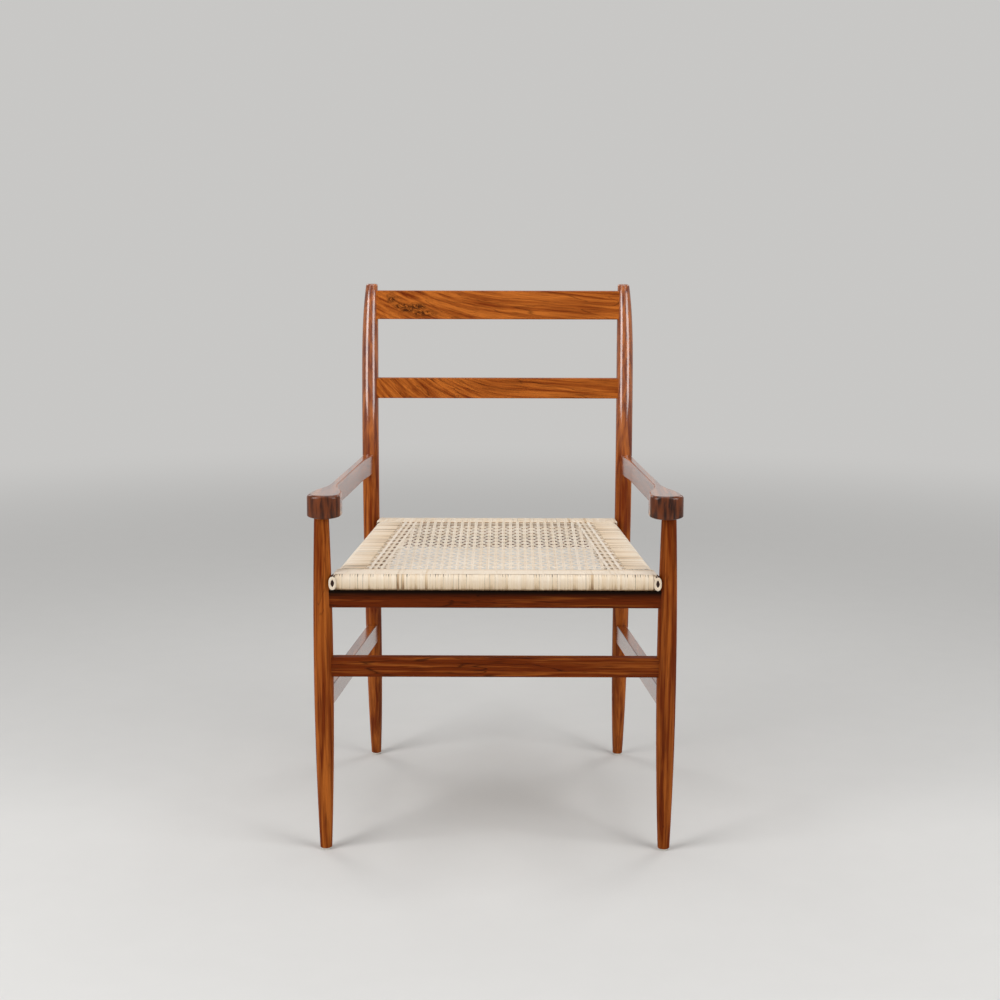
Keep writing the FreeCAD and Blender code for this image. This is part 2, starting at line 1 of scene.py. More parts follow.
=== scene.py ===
"""Dining armchair in lacquered rosewood with a hand-woven cane seat."""
import math
import random

import bmesh
import bpy
from mathutils import Matrix, Vector


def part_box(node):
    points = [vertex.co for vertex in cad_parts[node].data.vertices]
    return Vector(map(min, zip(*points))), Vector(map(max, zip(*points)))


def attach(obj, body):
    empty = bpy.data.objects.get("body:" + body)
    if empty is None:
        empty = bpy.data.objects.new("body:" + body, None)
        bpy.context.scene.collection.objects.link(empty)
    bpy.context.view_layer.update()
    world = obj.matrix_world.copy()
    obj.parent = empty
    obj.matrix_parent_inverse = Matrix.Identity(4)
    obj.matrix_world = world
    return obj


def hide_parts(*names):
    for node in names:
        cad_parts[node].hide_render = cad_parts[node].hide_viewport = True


bl_info = {
    "name": "Cane-seat armchair",
    "version": (1, 0, 0),
    "blender": (4, 5, 0),
    "location": "View3D > Sidebar > Armchair",
    "description": "Makes the turned, shaped and woven pieces of a dining armchair and all its finishes",
    "category": "Object",
}

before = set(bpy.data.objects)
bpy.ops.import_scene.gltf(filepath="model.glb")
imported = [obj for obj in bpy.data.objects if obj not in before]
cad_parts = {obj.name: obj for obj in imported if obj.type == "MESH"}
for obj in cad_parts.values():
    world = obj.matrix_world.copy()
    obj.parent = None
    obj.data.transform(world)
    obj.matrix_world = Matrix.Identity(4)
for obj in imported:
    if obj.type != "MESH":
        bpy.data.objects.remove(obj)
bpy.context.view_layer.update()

MM = 0.001
SIDES = {"left": -1, "right": 1}
UP = Vector((0, 0, 1))

# Places that the solids fix
LEG_LOW, LEG_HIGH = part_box("front_leg_right")
LEG_X = (LEG_LOW.x + LEG_HIGH.x) / 2
LEG_Y = (LEG_LOW.y + LEG_HIGH.y) / 2
FOOT_Z = LEG_LOW.z
RAIL_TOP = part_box("front_seat_rail")[1].z
SEAT_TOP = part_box("cane_wrap_front")[1].z
ARM_UNDER = 530.3 * MM
POST_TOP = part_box("back_post_right")[1].z
# Post axis: half distances at foot and top, distance behind the front legs and height of the knee
POST_FOOT_X = 217.3 * MM
POST_TOP_X = 222.3 * MM
POST_BACK = 455.5 * MM
POST_KNEE = 430 * MM


def linear(hex_colour):
    """Linear RGB of an sRGB hex colour."""
    values = []
    for i in (1, 3, 5):
        c = int(hex_colour[i:i + 2], 16) / 255
        values.append(c / 12.92 if c <= 0.04045 else ((c + 0.055) / 1.055) ** 2.4)
    return values


def length(name, description, millimetres):
    """Property for a size, shown in the scene's units."""
    return bpy.props.FloatProperty(name=name, description=description, default=millimetres * MM,
                                   min=0, subtype="DISTANCE", unit="LENGTH", precision=4)


def colour(name, description, hex_colour):
    """Property for a colour."""
    return bpy.props.FloatVectorProperty(name=name, description=description, subtype="COLOR",
                                         size=3, min=0, max=1, default=linear(hex_colour))


class ArmchairWood(bpy.types.PropertyGroup):
    """Sizes of the turned and shaped wooden pieces."""

    foot: length("Leg foot", "Front leg's diameter at the floor", 18.4)
    belly: length("Leg belly", "Front leg's largest diameter", 30.2)
    belly_height: length("Belly height", "Height of the front leg's largest diameter", 285)
    neck: length("Leg neck", "Front leg's diameter under the arm", 22.4)
    post_foot: length("Post foot", "Back post's diameter at the floor", 17)
    post_seat: length("Post at seat", "Back post's diameter at the seat", 28.2)
    post_back: length("Post at back", "Back post's diameter between slat and crest", 28.8)
    post_tip: length("Post tip", "Back post's diameter at its top", 20)
    post_taper: length("Post taper", "Length over which the post thins to its tip", 192)
    post_kick: length("Foot kick", "How far the post's foot stands back", 28.5)
    slat_lean: length("Lean at slat", "How far the post leans back at the slat", 21.5)
    top_lean: length("Lean at top", "How far the post leans back at its top", 62)
    slat_height: length("Slat middle", "Height of the slat's middle", 665)
    tip_round: length("Tip rounding", "Rounding of the post's top edge", 3)
    foot_chamfer: length("Foot chamfer", "Chamfer round each foot", 0.8)
    arm_height: length("Arm height", "Depth of the arm on edge", 34)
    arm_rear: length("Arm rear", "Arm's thickness at the post", 18)
    arm_waist: length("Arm waist", "Arm's thickness in its slim length", 12.5)
    arm_bow: length("Arm bow", "How far the slim length bows outward", 2)
    neck_length: length("Arm neck", "Length of the swelling to the post", 107)
    paddle: length("Paddle width", "Width of the arm's front end", 51)
    paddle_inset: length("Paddle inset", "How far the paddle's middle is inside the leg's", 4.9)
    paddle_length: length("Paddle length", "Length of the paddle before it narrows", 10)
    flare: length("Paddle flare", "Length over which the paddle narrows", 114)
    overhang: length("Paddle overhang", "How far the paddle reaches in front of the leg", 38)
    bulge: length("Paddle bulge", "How far the paddle's front swells", 12)
    end_depth: length("Paddle end", "Depth of the paddle's rounded front", 20)
    edge: length("Arm edge", "Rounding along the arm's edges", 2.6)
    end_edge: length("Paddle edge", "Rounding along the paddle's front edges", 4.6)
    crown: length("Paddle crown", "How far the paddle's underside swells below the arm", 1.8)
    ring: length("Leg ring", "Depth of the small step round the top of the front leg", 1.1)


class ArmchairCane(bpy.types.PropertyGroup):
    """Sizes of the woven seat."""

    pitch: length("Column spacing", "Distance between the pairs of lengthwise strands", 11.8)
    row_pitch: length("Row spacing", "Distance between the pairs of crosswise strands", 13.3)
    strand: length("Lengthwise width", "Width of one lengthwise strand", 2.3)
    cross: length("Crosswise width", "Width of one crosswise strand", 2.2)
    diagonal: length("Diagonal width", "Width of one diagonal strand", 2.6)
    thickness: length("Cane thickness", "Thickness of a strand", 0.55)
    winding: length("Winding thickness", "Thickness of a strip wound round a bar", 0.7)
    strip: length("Winding width", "Width of a strip wound round a bar", 3.9)
    bar: length("Bar width", "Width of the seat's wound bars", 45)
    front_overhang: length("Front overhang", "How far the seat reaches in front of the leg axes", 16)
    side_inset: length("Side inset", "How far the sides are inside the line of legs and posts", 16.07)
    back_gap: length("Back gap", "Distance from the seat's back edge to the post axes", 0.5)
    border: length("Border spacing", "Distance between the strands along the side bars", 8.8)
    binder: length("Binder spacing", "Distance between the strands laid along the front bar", 6.5)
    loop: length("End loop width", "Width of the strand that rings each end of the front bar", 2.9)


class ArmchairFinish(bpy.types.PropertyGroup):
    """Colours of the finishes."""

    heart: colour("Heartwood", "Light bands of the rosewood", "#B46324")
    band: colour("Dark bands", "Dark bands of the rosewood", "#6E2B07")
    vein: colour("Veins", "Ink-dark veins of the rosewood", "#260C02")
    cane_light: colour("Pale cane", "Palest strands", "#EBE1D2")
    cane_warm: colour("Warm cane", "Warmest strands", "#D6BD9B")
    cane_stain: colour("Cane stain", "Brown streaks in the cane", "#7C5730")
    nylon: colour("Nylon", "Foot glides", "#DAD6CC")
    paper: colour("Studio paper", "Floor and backdrop", "#D6D5D3")


# Finishes

def feed(tree, node, inputs):
    """Sets or links inputs, by name or in order; a node stands for its first output in use."""
    if isinstance(inputs, dict):
        sockets = [node.inputs[name] for name in inputs]
        inputs = inputs.values()
    else:
        sockets = [socket for socket in node.inputs if socket.enabled]
    for socket, value in zip(sockets, inputs):
        if isinstance(value, bpy.types.Node):
            value = next(output for output in value.outputs if output.enabled)
        if isinstance(value, bpy.types.NodeSocket):
            tree.links.new(value, socket)
        else:
            socket.default_value = value


def add_node(tree, kind, inputs=(), **settings):
    """Adds a node with its settings and its inputs."""
    node = tree.nodes.new("ShaderNode" + kind)
    for key, value in settings.items():
        setattr(node, key, value)
    feed(tree, node, inputs)
    return node


def new_material(name, values):
    """Material, its tree, its shader with its constant inputs set, and the place on the object."""
    material = bpy.data.materials.new(name)
    material.use_nodes = True
    tree = material.node_tree
    shader = tree.nodes["Principled BSDF"]
    feed(tree, shader, values)
    return material, tree, shader, add_node(tree, "TexCoord").outputs["Object"]


def opaque(rgb):
    """Colour with full alpha, as colour sockets hold it."""
    return (*rgb, 1)


def marks(tree, place, sizes, detail, roughness=0.5, distortion=0.0):
    """Noise whose marks have real sizes along x, y and z, in millimetres."""
    scales = [1 / (size * MM) for size in sizes]
    squeezed = add_node(tree, "VectorMath", (place, scales), operation="MULTIPLY")
    return add_node(tree, "TexNoise", {"Vector": squeezed, "Scale": 1, "Detail": detail,
                                       "Roughness": roughness, "Distortion": distortion})


def lacquered(roughness, gloss, coat, coat_roughness, coat_ior):
    """Shader values of wood under lacquer."""
    return {"Roughness": roughness, "IOR": 1.5, "Specular IOR Level": gloss, "Coat Weight": coat,
            "Coat Roughness": coat_roughness, "Coat IOR": coat_ior}


# Lacquer worn thin, kept whole, laid so thick that it mirrors at a low angle, and soaked into end grain
WORN = lacquered(0.5, 0.02, 0.09, 0.14, 1.5)
WHOLE = lacquered(0.4, 0.05, 0.9, 0.08, 1.7)
THICK = lacquered(0.25, 0.5, 1.0, 0.2, 1.72)
SOAKED = lacquered(0.3, 0.1, 0.3, 0.07, 1.65)

# How each wooden piece was made, the way of its grain, its lacquer, where its figure starts in metres,
# how dark it is and its share of ink lines; the darkness is partly the wood's own and partly painted light
# and shade: darker seat rails, stretcher and right leg as painted shade, lighter crest rail and slat as
# painted light
CUTS = {
    "front leg left": ("turned", "Z", WORN, (-0.13, 0.07, -0.31), 0.3, 0.5),
    "front leg right": ("turned", "Z", WORN, (0.13, 0.07, 0.31), 0.9, 0.5),
    "back post left": ("rounded", "Z", WHOLE, (-0.21, 0.4, -0.17), 0.4, 0.3),
    "back post right": ("rounded", "Z", WHOLE, (0.21, 0.4, 0.17), 0.4, 0.3),
    "arm left": ("sawn", "Y", THICK, (0.3, -0.1, 0.2), 0.2, 1),
    "arm right": ("sawn", "Y", THICK, (0.3, 0.1, 0.2), 0.2, 1),
    "crest rail": ("planed", "X", WORN, (0.05, 0, 0.03), -0.35, 0.75),
    "back slat": ("planed", "X", WORN, (0.4, 0, 0.11), -0.3, 0.75),
    "front seat rail": ("planed", "X", WORN, (0.2, 0.1, 0.2), 2.2, 1),
    "back seat rail": ("planed", "X", WORN, (0.55, 0.1, 0.55), 2.2, 1),
    "front stretcher": ("planed", "X", WORN, (0.9, 0.1, 0.9), 1.4, 1),
    "side stretcher left": ("planed", "Y", THICK, (0.1, -0.3, 0.2), 0.4, 1),
    "side stretcher right": ("planed", "Y", THICK, (0.1, 0.3, 0.2), 0.4, 1),
}

# Marks of the figure: width and length in millimetres, detail and distortion of the noise
BANDS = (7, 170, 3, 0.4)
INK_LINES = (16, 240, 2, 0.7)
PORES = (1, 42, 3, 0.2)
KNOT_SPECKS = (2, 6, 3, 1.2)
FIGURE_ROUGHNESS = 0.55
# Values of the noise between which a mark goes from nothing to its full share
BAND_RANGE = (0.36, 0.66)
PORE_RANGE = (0.52, 0.74)
SPECK_RANGE = (0.36, 0.54)
INK_MIDDLE = 0.5
INK_HALF = 0.016
INK_SHARE = 0.75
PORE_SHARE = 0.85
SPECK_SHARE = 0.9
KNOT_CORE = 0.4
BAND_SHIFT = 0.1
DARKENING = 0.12
PORE_BUMP = 0.05
PORE_DEPTH = 0.2 * MM
# Painted shade in the angle under another piece: its near-black colour, and the share of its reach that is
# fully dark
PAINTED_SHADE_COLOUR = "#120500"
PAINTED_SHADE_FULL = 0.25


def rosewood(piece, finish, tilt=0, knots=(), swirl=None, shade=None, worn=None):
    """Rosewood under lacquer: dark bands, pores and ink lines along the grain under a deep gloss."""
    made, grain, lacquer, start, dark, ink_share = CUTS[piece]
    name = f"Rosewood, {made} and lacquered, {piece}"
    material, tree, shader, place = new_material(name, lacquer)
    # Darkness deepens both colours and widens the dark bands: partly the wood's own, partly painted shade
    # and light
    depth = 1 - DARKENING * max(dark, 0)
    heart, band = [opaque([c * depth for c in rgb]) for rgb in (finish.heart, finish.band)]
    parts = add_node(tree, "SeparateXYZ", (place,)).outputs
    source = place
    if swirl:
        # The grain falls ever faster to one side of a place across the rail
        begin, fall = swirl
        past = add_node(tree, "Math", (parts["X"], begin), operation="SUBTRACT")
        kept = add_node(tree, "Math", (past, 0), operation="MINIMUM")
        square = add_node(tree, "Math", (kept, 2), operation="POWER")
        level = add_node(tree, "Math", (square, -fall, parts["Z"]), operation="MULTIPLY_ADD")
        source = add_node(tree, "CombineXYZ", (parts["X"], parts["Y"], level))
    turned = add_node(tree, "Mapping", (source, start, (0, math.radians(tilt), 0)), vector_type="POINT")

    def streaks(across, along, detail, distortion):
        sizes = [along if axis == grain else across for axis in "XYZ"]
        return marks(tree, turned, sizes, detail, FIGURE_ROUGHNESS, distortion)

    band_range = [value - BAND_SHIFT * dark for value in BAND_RANGE]
    spread = add_node(tree, "MapRange", (streaks(*BANDS), *band_range))
    wood = add_node(tree, "Mix", (spread, heart, band), data_type="RGBA")
    # Ink lines lie where a broad pattern passes through its middle value
    offset = add_node(tree, "Math", (streaks(*INK_LINES), INK_MIDDLE), operation="SUBTRACT")
    ridge = add_node(tree, "Math", (offset,), operation="ABSOLUTE")
    line = add_node(tree, "MapRange", (ridge, 0, INK_HALF, INK_SHARE * ink_share, 0))
    fine = streaks(*PORES)
    pores = add_node(tree, "MapRange", (fine, *PORE_RANGE, 0, PORE_SHARE * ink_share))
    ink = add_node(tree, "Math", (line, pores), operation="MAXIMUM")
    for x, z, reach_x, reach_z in knots:
        middle = (x * MM, 0, z * MM)
        shrink = (1 / (reach_x * MM), 0, 1 / (reach_z * MM))
        centred = add_node(tree, "VectorMath", (place, middle), operation="SUBTRACT")
        shrunk = add_node(tree, "VectorMath", (centred, shrink), operation="MULTIPLY")
        away = add_node(tree, "VectorMath", (shrunk,), operation="LENGTH")
        patch = add_node(tree, "MapRange", (away, KNOT_CORE, 1, 1, 0))
        speck = add_node(tree, "MapRange", (streaks(*KNOT_SPECKS), *SPECK_RANGE, 0, SPECK_SHARE))
        knot = add_node(tree, "Math", (patch, speck), operation="MULTIPLY")
        ink = add_node(tree, "Math", (ink, knot), operation="MAXIMUM")
    colours = add_node(tree, "Mix", (ink, wood, opaque(finish.vein)), data_type="RGBA")
    if shade:
        # Painted shade: the wood turns near black towards a height, in the angle under another piece
        top, reach = shade
        near = add_node(tree, "MapRange", (parts["Z"], top - reach, top - reach * PAINTED_SHADE_FULL))
        colours = add_node(tree, "Mix", (near, colours, opaque(linear(PAINTED_SHADE_COLOUR))), data_type="RGBA")
    if worn:
        # Hands and feet wear the lacquer low down, so that the gloss fades between two heights
        weights = (WORN["Coat Weight"], lacquer["Coat Weight"])
        coat = add_node(tree, "MapRange", (parts["Z"], *worn, *weights))
        feed(tree, shader, {"Coat Weight": coat})
    bump = add_node(tree, "Bump", {"Height": fine, "Strength": PORE_BUMP, "Distance": PORE_DEPTH})
    feed(tree, shader, {"Base Color": colours, "Normal": bump})
    return material


# Strength of the cane's mottle, and tones between which it turns warm and then stained
MOTTLE = 0.6
WARM_RANGE = (0.3, 1.1)
STAIN_RANGE = (1.0, 1.4)
STAIN_SHARE = 0.85
SKIN_DETAIL = 3
SKIN_ROUGHNESS = 0.6
SKIN_BUMP = 0.15
SKIN_DEPTH = 0.3 * MM


def rattan(worked, finish, sizes):
    """Rattan cane, split from the vine's skin: pale strips with a soft gloss, some streaked brown."""
    gloss = {"Roughness": 0.5, "IOR": 1.47, "Specular IOR Level": 0.4}
    material, tree, shader, place = new_material("Rattan cane, split and " + worked, gloss)
    tone = add_node(tree, "Attribute", attribute_name="tone").outputs["Fac"]
    skin = marks(tree, place, sizes, SKIN_DETAIL, SKIN_ROUGHNESS)
    mottled = add_node(tree, "Math", (skin, MOTTLE, tone), operation="MULTIPLY_ADD")
    warm = add_node(tree, "MapRange", (mottled, *WARM_RANGE))
    light, brown = opaque(finish.cane_light), opaque(finish.cane_warm)
    pale = add_node(tree, "Mix", (warm, light, brown), data_type="RGBA")
    stain = add_node(tree, "MapRange", (mottled, *STAIN_RANGE, 0, STAIN_SHARE))
    stained = add_node(tree, "Mix", (stain, pale, opaque(finish.cane_stain)), data_type="RGBA")
    bump = add_node(tree, "Bump", {"Height": skin, "Strength": SKIN_BUMP, "Distance": SKIN_DEPTH})
    feed(tree, shader, {"Base Color": stained, "Normal": bump})
    return material


def two_tone(name, colours, sizes, values, detail=3, distortion=0.0, span=(0, 1)):
    """Material that wavers between two colours in marks of real sizes."""
    material, tree, shader, place = new_material(name, values)
    pattern = marks(tree, place, sizes, detail, distortion=distortion)
    spread = add_node(tree, "MapRange", (pattern, *span))
    mixed = add_node(tree, "Mix", (spread, *map(opaque, colours)), data_type="RGBA")
    feed(tree, shader, {"Base Color": mixed})
    return material


def new_object(name, data):
    """Object of a mesh, lamp or camera, put into the scene."""
    thing = bpy.data.objects.new(name, data)
    bpy.context.scene.collection.objects.link(thing)
    return thing


def dress(node, material):
    """Gives a CAD node its finish."""
    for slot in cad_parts[node].material_slots:
        slot.material = material


def new_piece(name, mesh, materials, nodes):
    """Object of a mesh that rides on the chair and stands for CAD nodes."""
    piece = new_object(name, mesh)
    for material in materials:
        mesh.materials.append(material)
    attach(piece, "root")
    if nodes:
        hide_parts(*nodes)


# Angles between faces above which an edge stays sharp, in degrees
ROUND_SHARP = 40
ARM_SHARP = 30
STRAND_SHARP = 50


def fill_mesh(mesh, bm, sharp):
    """Writes a bmesh to a mesh, smooth apart from its sharp edges."""
    bmesh.ops.recalc_face_normals(bm, faces=bm.faces)
    bm.to_mesh(mesh)
    bm.free()
    mesh.shade_smooth()
    mesh.set_sharp_from_angle(angle=math.radians(sharp))
    return mesh


def skin_rings(bm, rings, second=0):
    """Faces between rings and over both ends; the first points' faces can take the second material."""
    for low, high in zip(rings, rings[1:]):
        for i in range(len(low)):
            face = bm.faces.new((low[i - 1], low[i], high[i], high[i - 1]))
            face.material_index = int(i < second)
    bm.faces.new(rings[0])
    bm.faces.new(rings[-1])


# Turned and shaped wood

ROUND_SIDES = 56
LEG_LEVELS = 60
POST_LEVELS = 80
TIP_TURNS = (15, 30, 45, 60, 75, 90)
FOOT_TAPER_POWER = 3.8
TIP_TAPER_POWER = 3.6
TIP_INWARD = 0.66
# Reach of the painted shade down from the top of the front leg
LEG_PAINTED_SHADE = 4 * MM
LEG_INTO_ARM = 0.25
POST_WORN = (500 * MM, 660 * MM)


def round_mesh(name, sections):
    """Mesh through level round sections, each given by its centre and radius."""
    bm = bmesh.new()
    turns = [2 * math.pi * i / ROUND_SIDES for i in range(ROUND_SIDES)]
    rings = []
    for centre, radius in sections:
        points = [centre + Vector((math.cos(turn), math.sin(turn), 0)) * radius for turn in turns]
        rings.append([bm.verts.new(point) for point in points])
    skin_rings(bm, rings)
    return fill_mesh(bpy.data.meshes.new(name), bm, ROUND_SHARP)


def spaced(low, high, count):
    """Values evenly spaced from low to high."""
    return [low + (high - low) * i / (count - 1) for i in range(count)]


def leg_radius(wood, z):
    """Front leg's radius at a height: two long arcs that meet at the belly."""
    end_z, end_d = (FOOT_Z, wood.foot) if z < wood.belly_height else (ARM_UNDER, wood.neck)
    swell = (wood.belly - end_d) / 2
    arc = ((end_z - wood.belly_height) ** 2 + swell ** 2) / (2 * swell)
    return wood.belly / 2 - arc + math.sqrt(arc ** 2 - (z - wood.belly_height) ** 2)


def post_radius(wood, z):
    """Back post's radius at a height: tapered to the foot and to the tip."""
    if z <= POST_KNEE:
        share = (POST_KNEE - z) / (POST_KNEE - FOOT_Z)
        return (wood.post_seat - (wood.post_seat - wood.post_foot) * share ** FOOT_TAPER_POWER) / 2
    taper = POST_TOP - wood.post_taper
    if z <= taper:
        share = (z - POST_KNEE) / (taper - POST_KNEE)
        return (wood.post_seat + (wood.post_back - wood.post_seat) * share) / 2
    share = (z - taper) / wood.post_taper
    return (wood.post_back - (wood.post_back - wood.post_tip) * share ** TIP_TAPER_POWER) / 2


def post_axis(wood, side, z):
    """Back post's centre at a height: straight below the knee, a gentle curve above it."""
    x = POST_FOOT_X + (POST_TOP_X - POST_FOOT_X) * z / POST_TOP
    if z <= POST_KNEE:
        return Vector((side * x, LEG_Y + POST_BACK + wood.post_kick * (POST_KNEE - z) / POST_KNEE, z))
    slat = wood.slat_height - POST_KNEE
    top = POST_TOP - POST_KNEE
    rise = z - POST_KNEE
    lean = wood.slat_lean * rise * (rise - top) / (slat * (slat - top))
    lean += wood.top_lean * rise * (rise - slat) / (top * (top - slat))
    # The tip is thinned mostly on its outer side
    thinned = wood.post_back / 2 - post_radius(wood, max(z, POST_TOP - wood.post_taper))
    x -= TIP_INWARD * max(0, thinned)
    return Vector((side * x, LEG_Y + POST_BACK + lean, z))


class ARMCHAIR_OT_legs(bpy.types.Operator):
    """Turn the two front legs"""

    bl_idname = "armchair.legs"
    bl_label = "Front legs"

    def execute(self, context):
        wood = context.scene.armchair_wood
        finish = context.scene.armchair_finish
        # A small step round the top shades the joint under the arm, and painted shade darkens the wood
        # there
        step_z = ARM_UNDER - wood.crown
        levels = [(FOOT_Z, leg_radius(wood, FOOT_Z) - wood.foot_chamfer)]
        for z in spaced(FOOT_Z + wood.foot_chamfer, ARM_UNDER, LEG_LEVELS):
            if z < step_z - 2 * wood.ring:
                levels.append((z, leg_radius(wood, z)))
        levels.append((step_z - wood.ring, wood.neck / 2))
        for z in (step_z, step_z + wood.arm_height * LEG_INTO_ARM):
            levels.append((z, wood.neck / 2 - wood.ring))
        for name, side in SIDES.items():
            sections = [(Vector((side * LEG_X, LEG_Y, z)), radius) for z, radius in levels]
            material = rosewood("front leg " + name, finish, shade=(step_z, LEG_PAINTED_SHADE))
            new_piece("turned_leg_" + name, round_mesh("turned_leg", sections), [material],
                      ["front_leg_" + name])
        return {"FINISHED"}


class ARMCHAIR_OT_posts(bpy.types.Operator):
    """Shape the two back posts"""

    bl_idname = "armchair.posts"
    bl_label = "Back posts"

    def execute(self, context):
        wood = context.scene.armchair_wood
        finish = context.scene.armchair_finish
        round_z = POST_TOP - wood.tip_round
        # Each height with how far the post is drawn in there
        levels = [(FOOT_Z, wood.foot_chamfer)]
        levels += [(z, 0) for z in spaced(FOOT_Z + wood.foot_chamfer, round_z, POST_LEVELS)]
        for turn in TIP_TURNS:
            z = round_z + wood.tip_round * math.sin(math.radians(turn))
            levels.append((z, wood.tip_round * (1 - math.cos(math.radians(turn)))))
        for name, side in SIDES.items():
            sections = [(post_axis(wood, side, z), post_radius(wood, z) - drawn_in)
                        for z, drawn_in in levels]
            material = rosewood("back post " + name, finish, worn=POST_WORN)
            new_piece("rounded_post_" + name, round_mesh("rounded_post", sections), [material],
                      ["back_post_" + name])
        return {"FINISHED"}


ARM_SLOPE = math.radians(1.66)
ARM_REAR_OUT = 3 * MM
ARM_EDGE_STEPS = 18
PADDLE_STEPS = 26
PADDLE_FULLNESS = 0.94
PADDLE_FADE = 60 * MM
EDGE_STEPS = 6
FLAT_RIM = 0.4 * MM
# End grain: sizes of its marks in millimetres, their detail, distortion and range, and two colours
END_MARKS = (5, 30, 34)
END_DETAIL = 4
END_DISTORTION = 0.3
END_RANGE = (0.35, 0.68)
END_COLOURS = (linear("#6E3515"), linear("#260D03"))


def s_shift(run, shift, distance):
    """Sideways place along a curve of two equal arcs that shifts over a run."""
    radius = (run * run + shift * shift) / (4 * abs(shift))
    near = min(distance, run - distance)
    rise = math.copysign(radius - math.sqrt(radius * radius - near * near), shift)
    return rise if distance <= run / 2 else shift - rise


def arm_edge(wood, total, half):
    """One long edge of an arm as (along, across) points from the paddle to the post."""
    paddle = half * wood.paddle
    waist = half * wood.arm_waist + wood.arm_bow
    rear = half * wood.arm_rear
    runs = (
        (wood.paddle_length, wood.flare, paddle, waist),
        (total - wood.neck_length, wood.neck_length, waist, rear),
    )
    points = []
    for start, run, near, far in runs:
        for distance in spaced(0, run, ARM_EDGE_STEPS + 1):
            points.append((start + distance, near + s_shift(run, far - near, distance)))
    return points


def paddle_end(wood):
    """Rounded front of the paddle as (along, across) points, from its outer to its inner corner."""
    points = []
    for i in range(1, PADDLE_STEPS):
        turn = math.pi * (0.5 - i / PADDLE_STEPS)
        across = math.copysign(abs(math.sin(turn)) ** PADDLE_FULLNESS, turn) * wood.paddle / 2
        reach = wood.end_depth * math.cos(turn) ** PADDLE_FULLNESS
        points.append((wood.end_depth - wood.bulge - reach, across))
    return points


def outline_normals(outline):
    """Outward unit normals of a closed outline that runs anticlockwise or clockwise."""
    area = sum(a[0] * b[1] - b[0] * a[1] for a, b in zip(outline, outline[1:] + outline[:1]))
    turn = 1 if area > 0 else -1
    normals = []
    for i, _ in enumerate(outline):
        before, after = outline[i - 1], outline[(i + 1) % len(outline)]
        run = Vector((after[0] - before[0], after[1] - before[1])).normalized()
        normals.append((turn * run.y, -turn * run.x))
    return normals


def arm_mesh(wood, side):
    """Arm cut out in plan, its edges rounded, tipped to fall towards the back."""
    rear = post_axis(wood, side, ARM_UNDER)
    front = Vector((side * (LEG_X - wood.paddle_inset), LEG_Y + wood.bulge - wood.overhang, ARM_UNDER))
    run = Vector((rear.x + side * ARM_REAR_OUT, rear.y, ARM_UNDER)) - front
    along = run.normalized()
    outward = along.cross(UP) * side
    cap = paddle_end(wood)
    outline = cap + arm_edge(wood, run.length, -0.5) + arm_edge(wood, run.length, 0.5)[::-1]
    normals = outline_normals(outline)
    # The front of the paddle has rounder edges and a fuller underside than the blade behind it
    at_front = [min(max(1 - (s - wood.end_depth + wood.bulge) / PADDLE_FADE, 0), 1) for s, _ in outline]
    edges = [wood.edge + (wood.end_edge - wood.edge) * share for share in at_front]
    # A narrow flat rim keeps the shading of the top and underside flat
    levels = [(1, 0, FLAT_RIM)]
    for i in range(EDGE_STEPS + 1):
        turn = math.radians(90 * i / EDGE_STEPS)
        levels.append((1 - math.sin(turn), 1 - math.cos(turn), 0))
    bm = bmesh.new()
    rings = []
    for top in (False, True):
        for inset_share, rise_share, rim in levels[::-1] if top else levels:
            ring = []
            for (s, t), normal, edge, share in zip(outline, normals, edges, at_front):
                inset = edge * inset_share + rim
                place = along * (s - inset * normal[0]) + outward * (t - inset * normal[1])
                low = -wood.crown * share * max(0, 1 - (2 * t / wood.paddle) ** 2)
                z = wood.arm_height - edge * rise_share if top else low + wood.edge * rise_share
                ring.append(bm.verts.new(front + place + UP * z))
            rings.append(ring)
    skin_rings(bm, rings, len(cap))
    pivot = Vector((0, LEG_Y, ARM_UNDER))
    turn = Matrix.Rotation(-ARM_SLOPE, 4, "X")
    bm.transform(Matrix.Translation(pivot) @ turn @ Matrix.Translation(-pivot))
    return fill_mesh(bpy.data.meshes.new("shaped_arm"), bm, ARM_SHARP)


class ARMCHAIR_OT_arms(bpy.types.Operator):
    """Shape the two armrests"""

    bl_idname = "armchair.arms"
    bl_label = "Armrests"

    def execute(self, context):
        wood = context.scene.armchair_wood
        finish = context.scene.armchair_finish
        # End grain drinks the lacquer and turns dark brown
        ends = two_tone("Rosewood end grain, sanded and lacquered", END_COLOURS, END_MARKS, SOAKED,
                        END_DETAIL, END_DISTORTION, END_RANGE)
        for name, side in SIDES.items():
            material = rosewood("arm " + name, finish)
            new_piece("shaped_arm_" + name, arm_mesh(wood, side), [material, ends],
                      ["armrest_" + name])
        return {"FINISHED"}


# Knots of the crest rail: place and reach across and upwards, in millimetres
CREST_KNOTS = (
    (-184, 816, 12, 8),
    (-165, 805, 24, 7),
    (-155, 798, 18, 6),
    (-140, 804, 24, 9),
    (-128, 793, 30, 7),
)
# Tilt of the grain in degrees; where its swirl begins, and how fast it falls there, per metre
CREST_TILT = -5
CREST_SWIRL = (30 * MM, 1.0)
SLAT_TILT = -4
SLAT_SWIRL = (20 * MM, 2.4)
# Reach of the painted shade down the seat rails from their tops
RAIL_PAINTED_SHADE = 15 * MM
# Colours of the hidden and small pieces, and sizes of their mottle in millimetres
BEECH_COLOURS = (linear("#2C1508"), linear("#3C2010"))
BEECH_MARKS = (3, 3, 3)
NYLON_MARKS = (4, 4, 4)
NYLON_DULLER = 0.93
ZINC_COLOURS = (linear("#B9BCC2"), linear("#A3A6AC"))
ZINC_MARKS = (1, 1, 1)


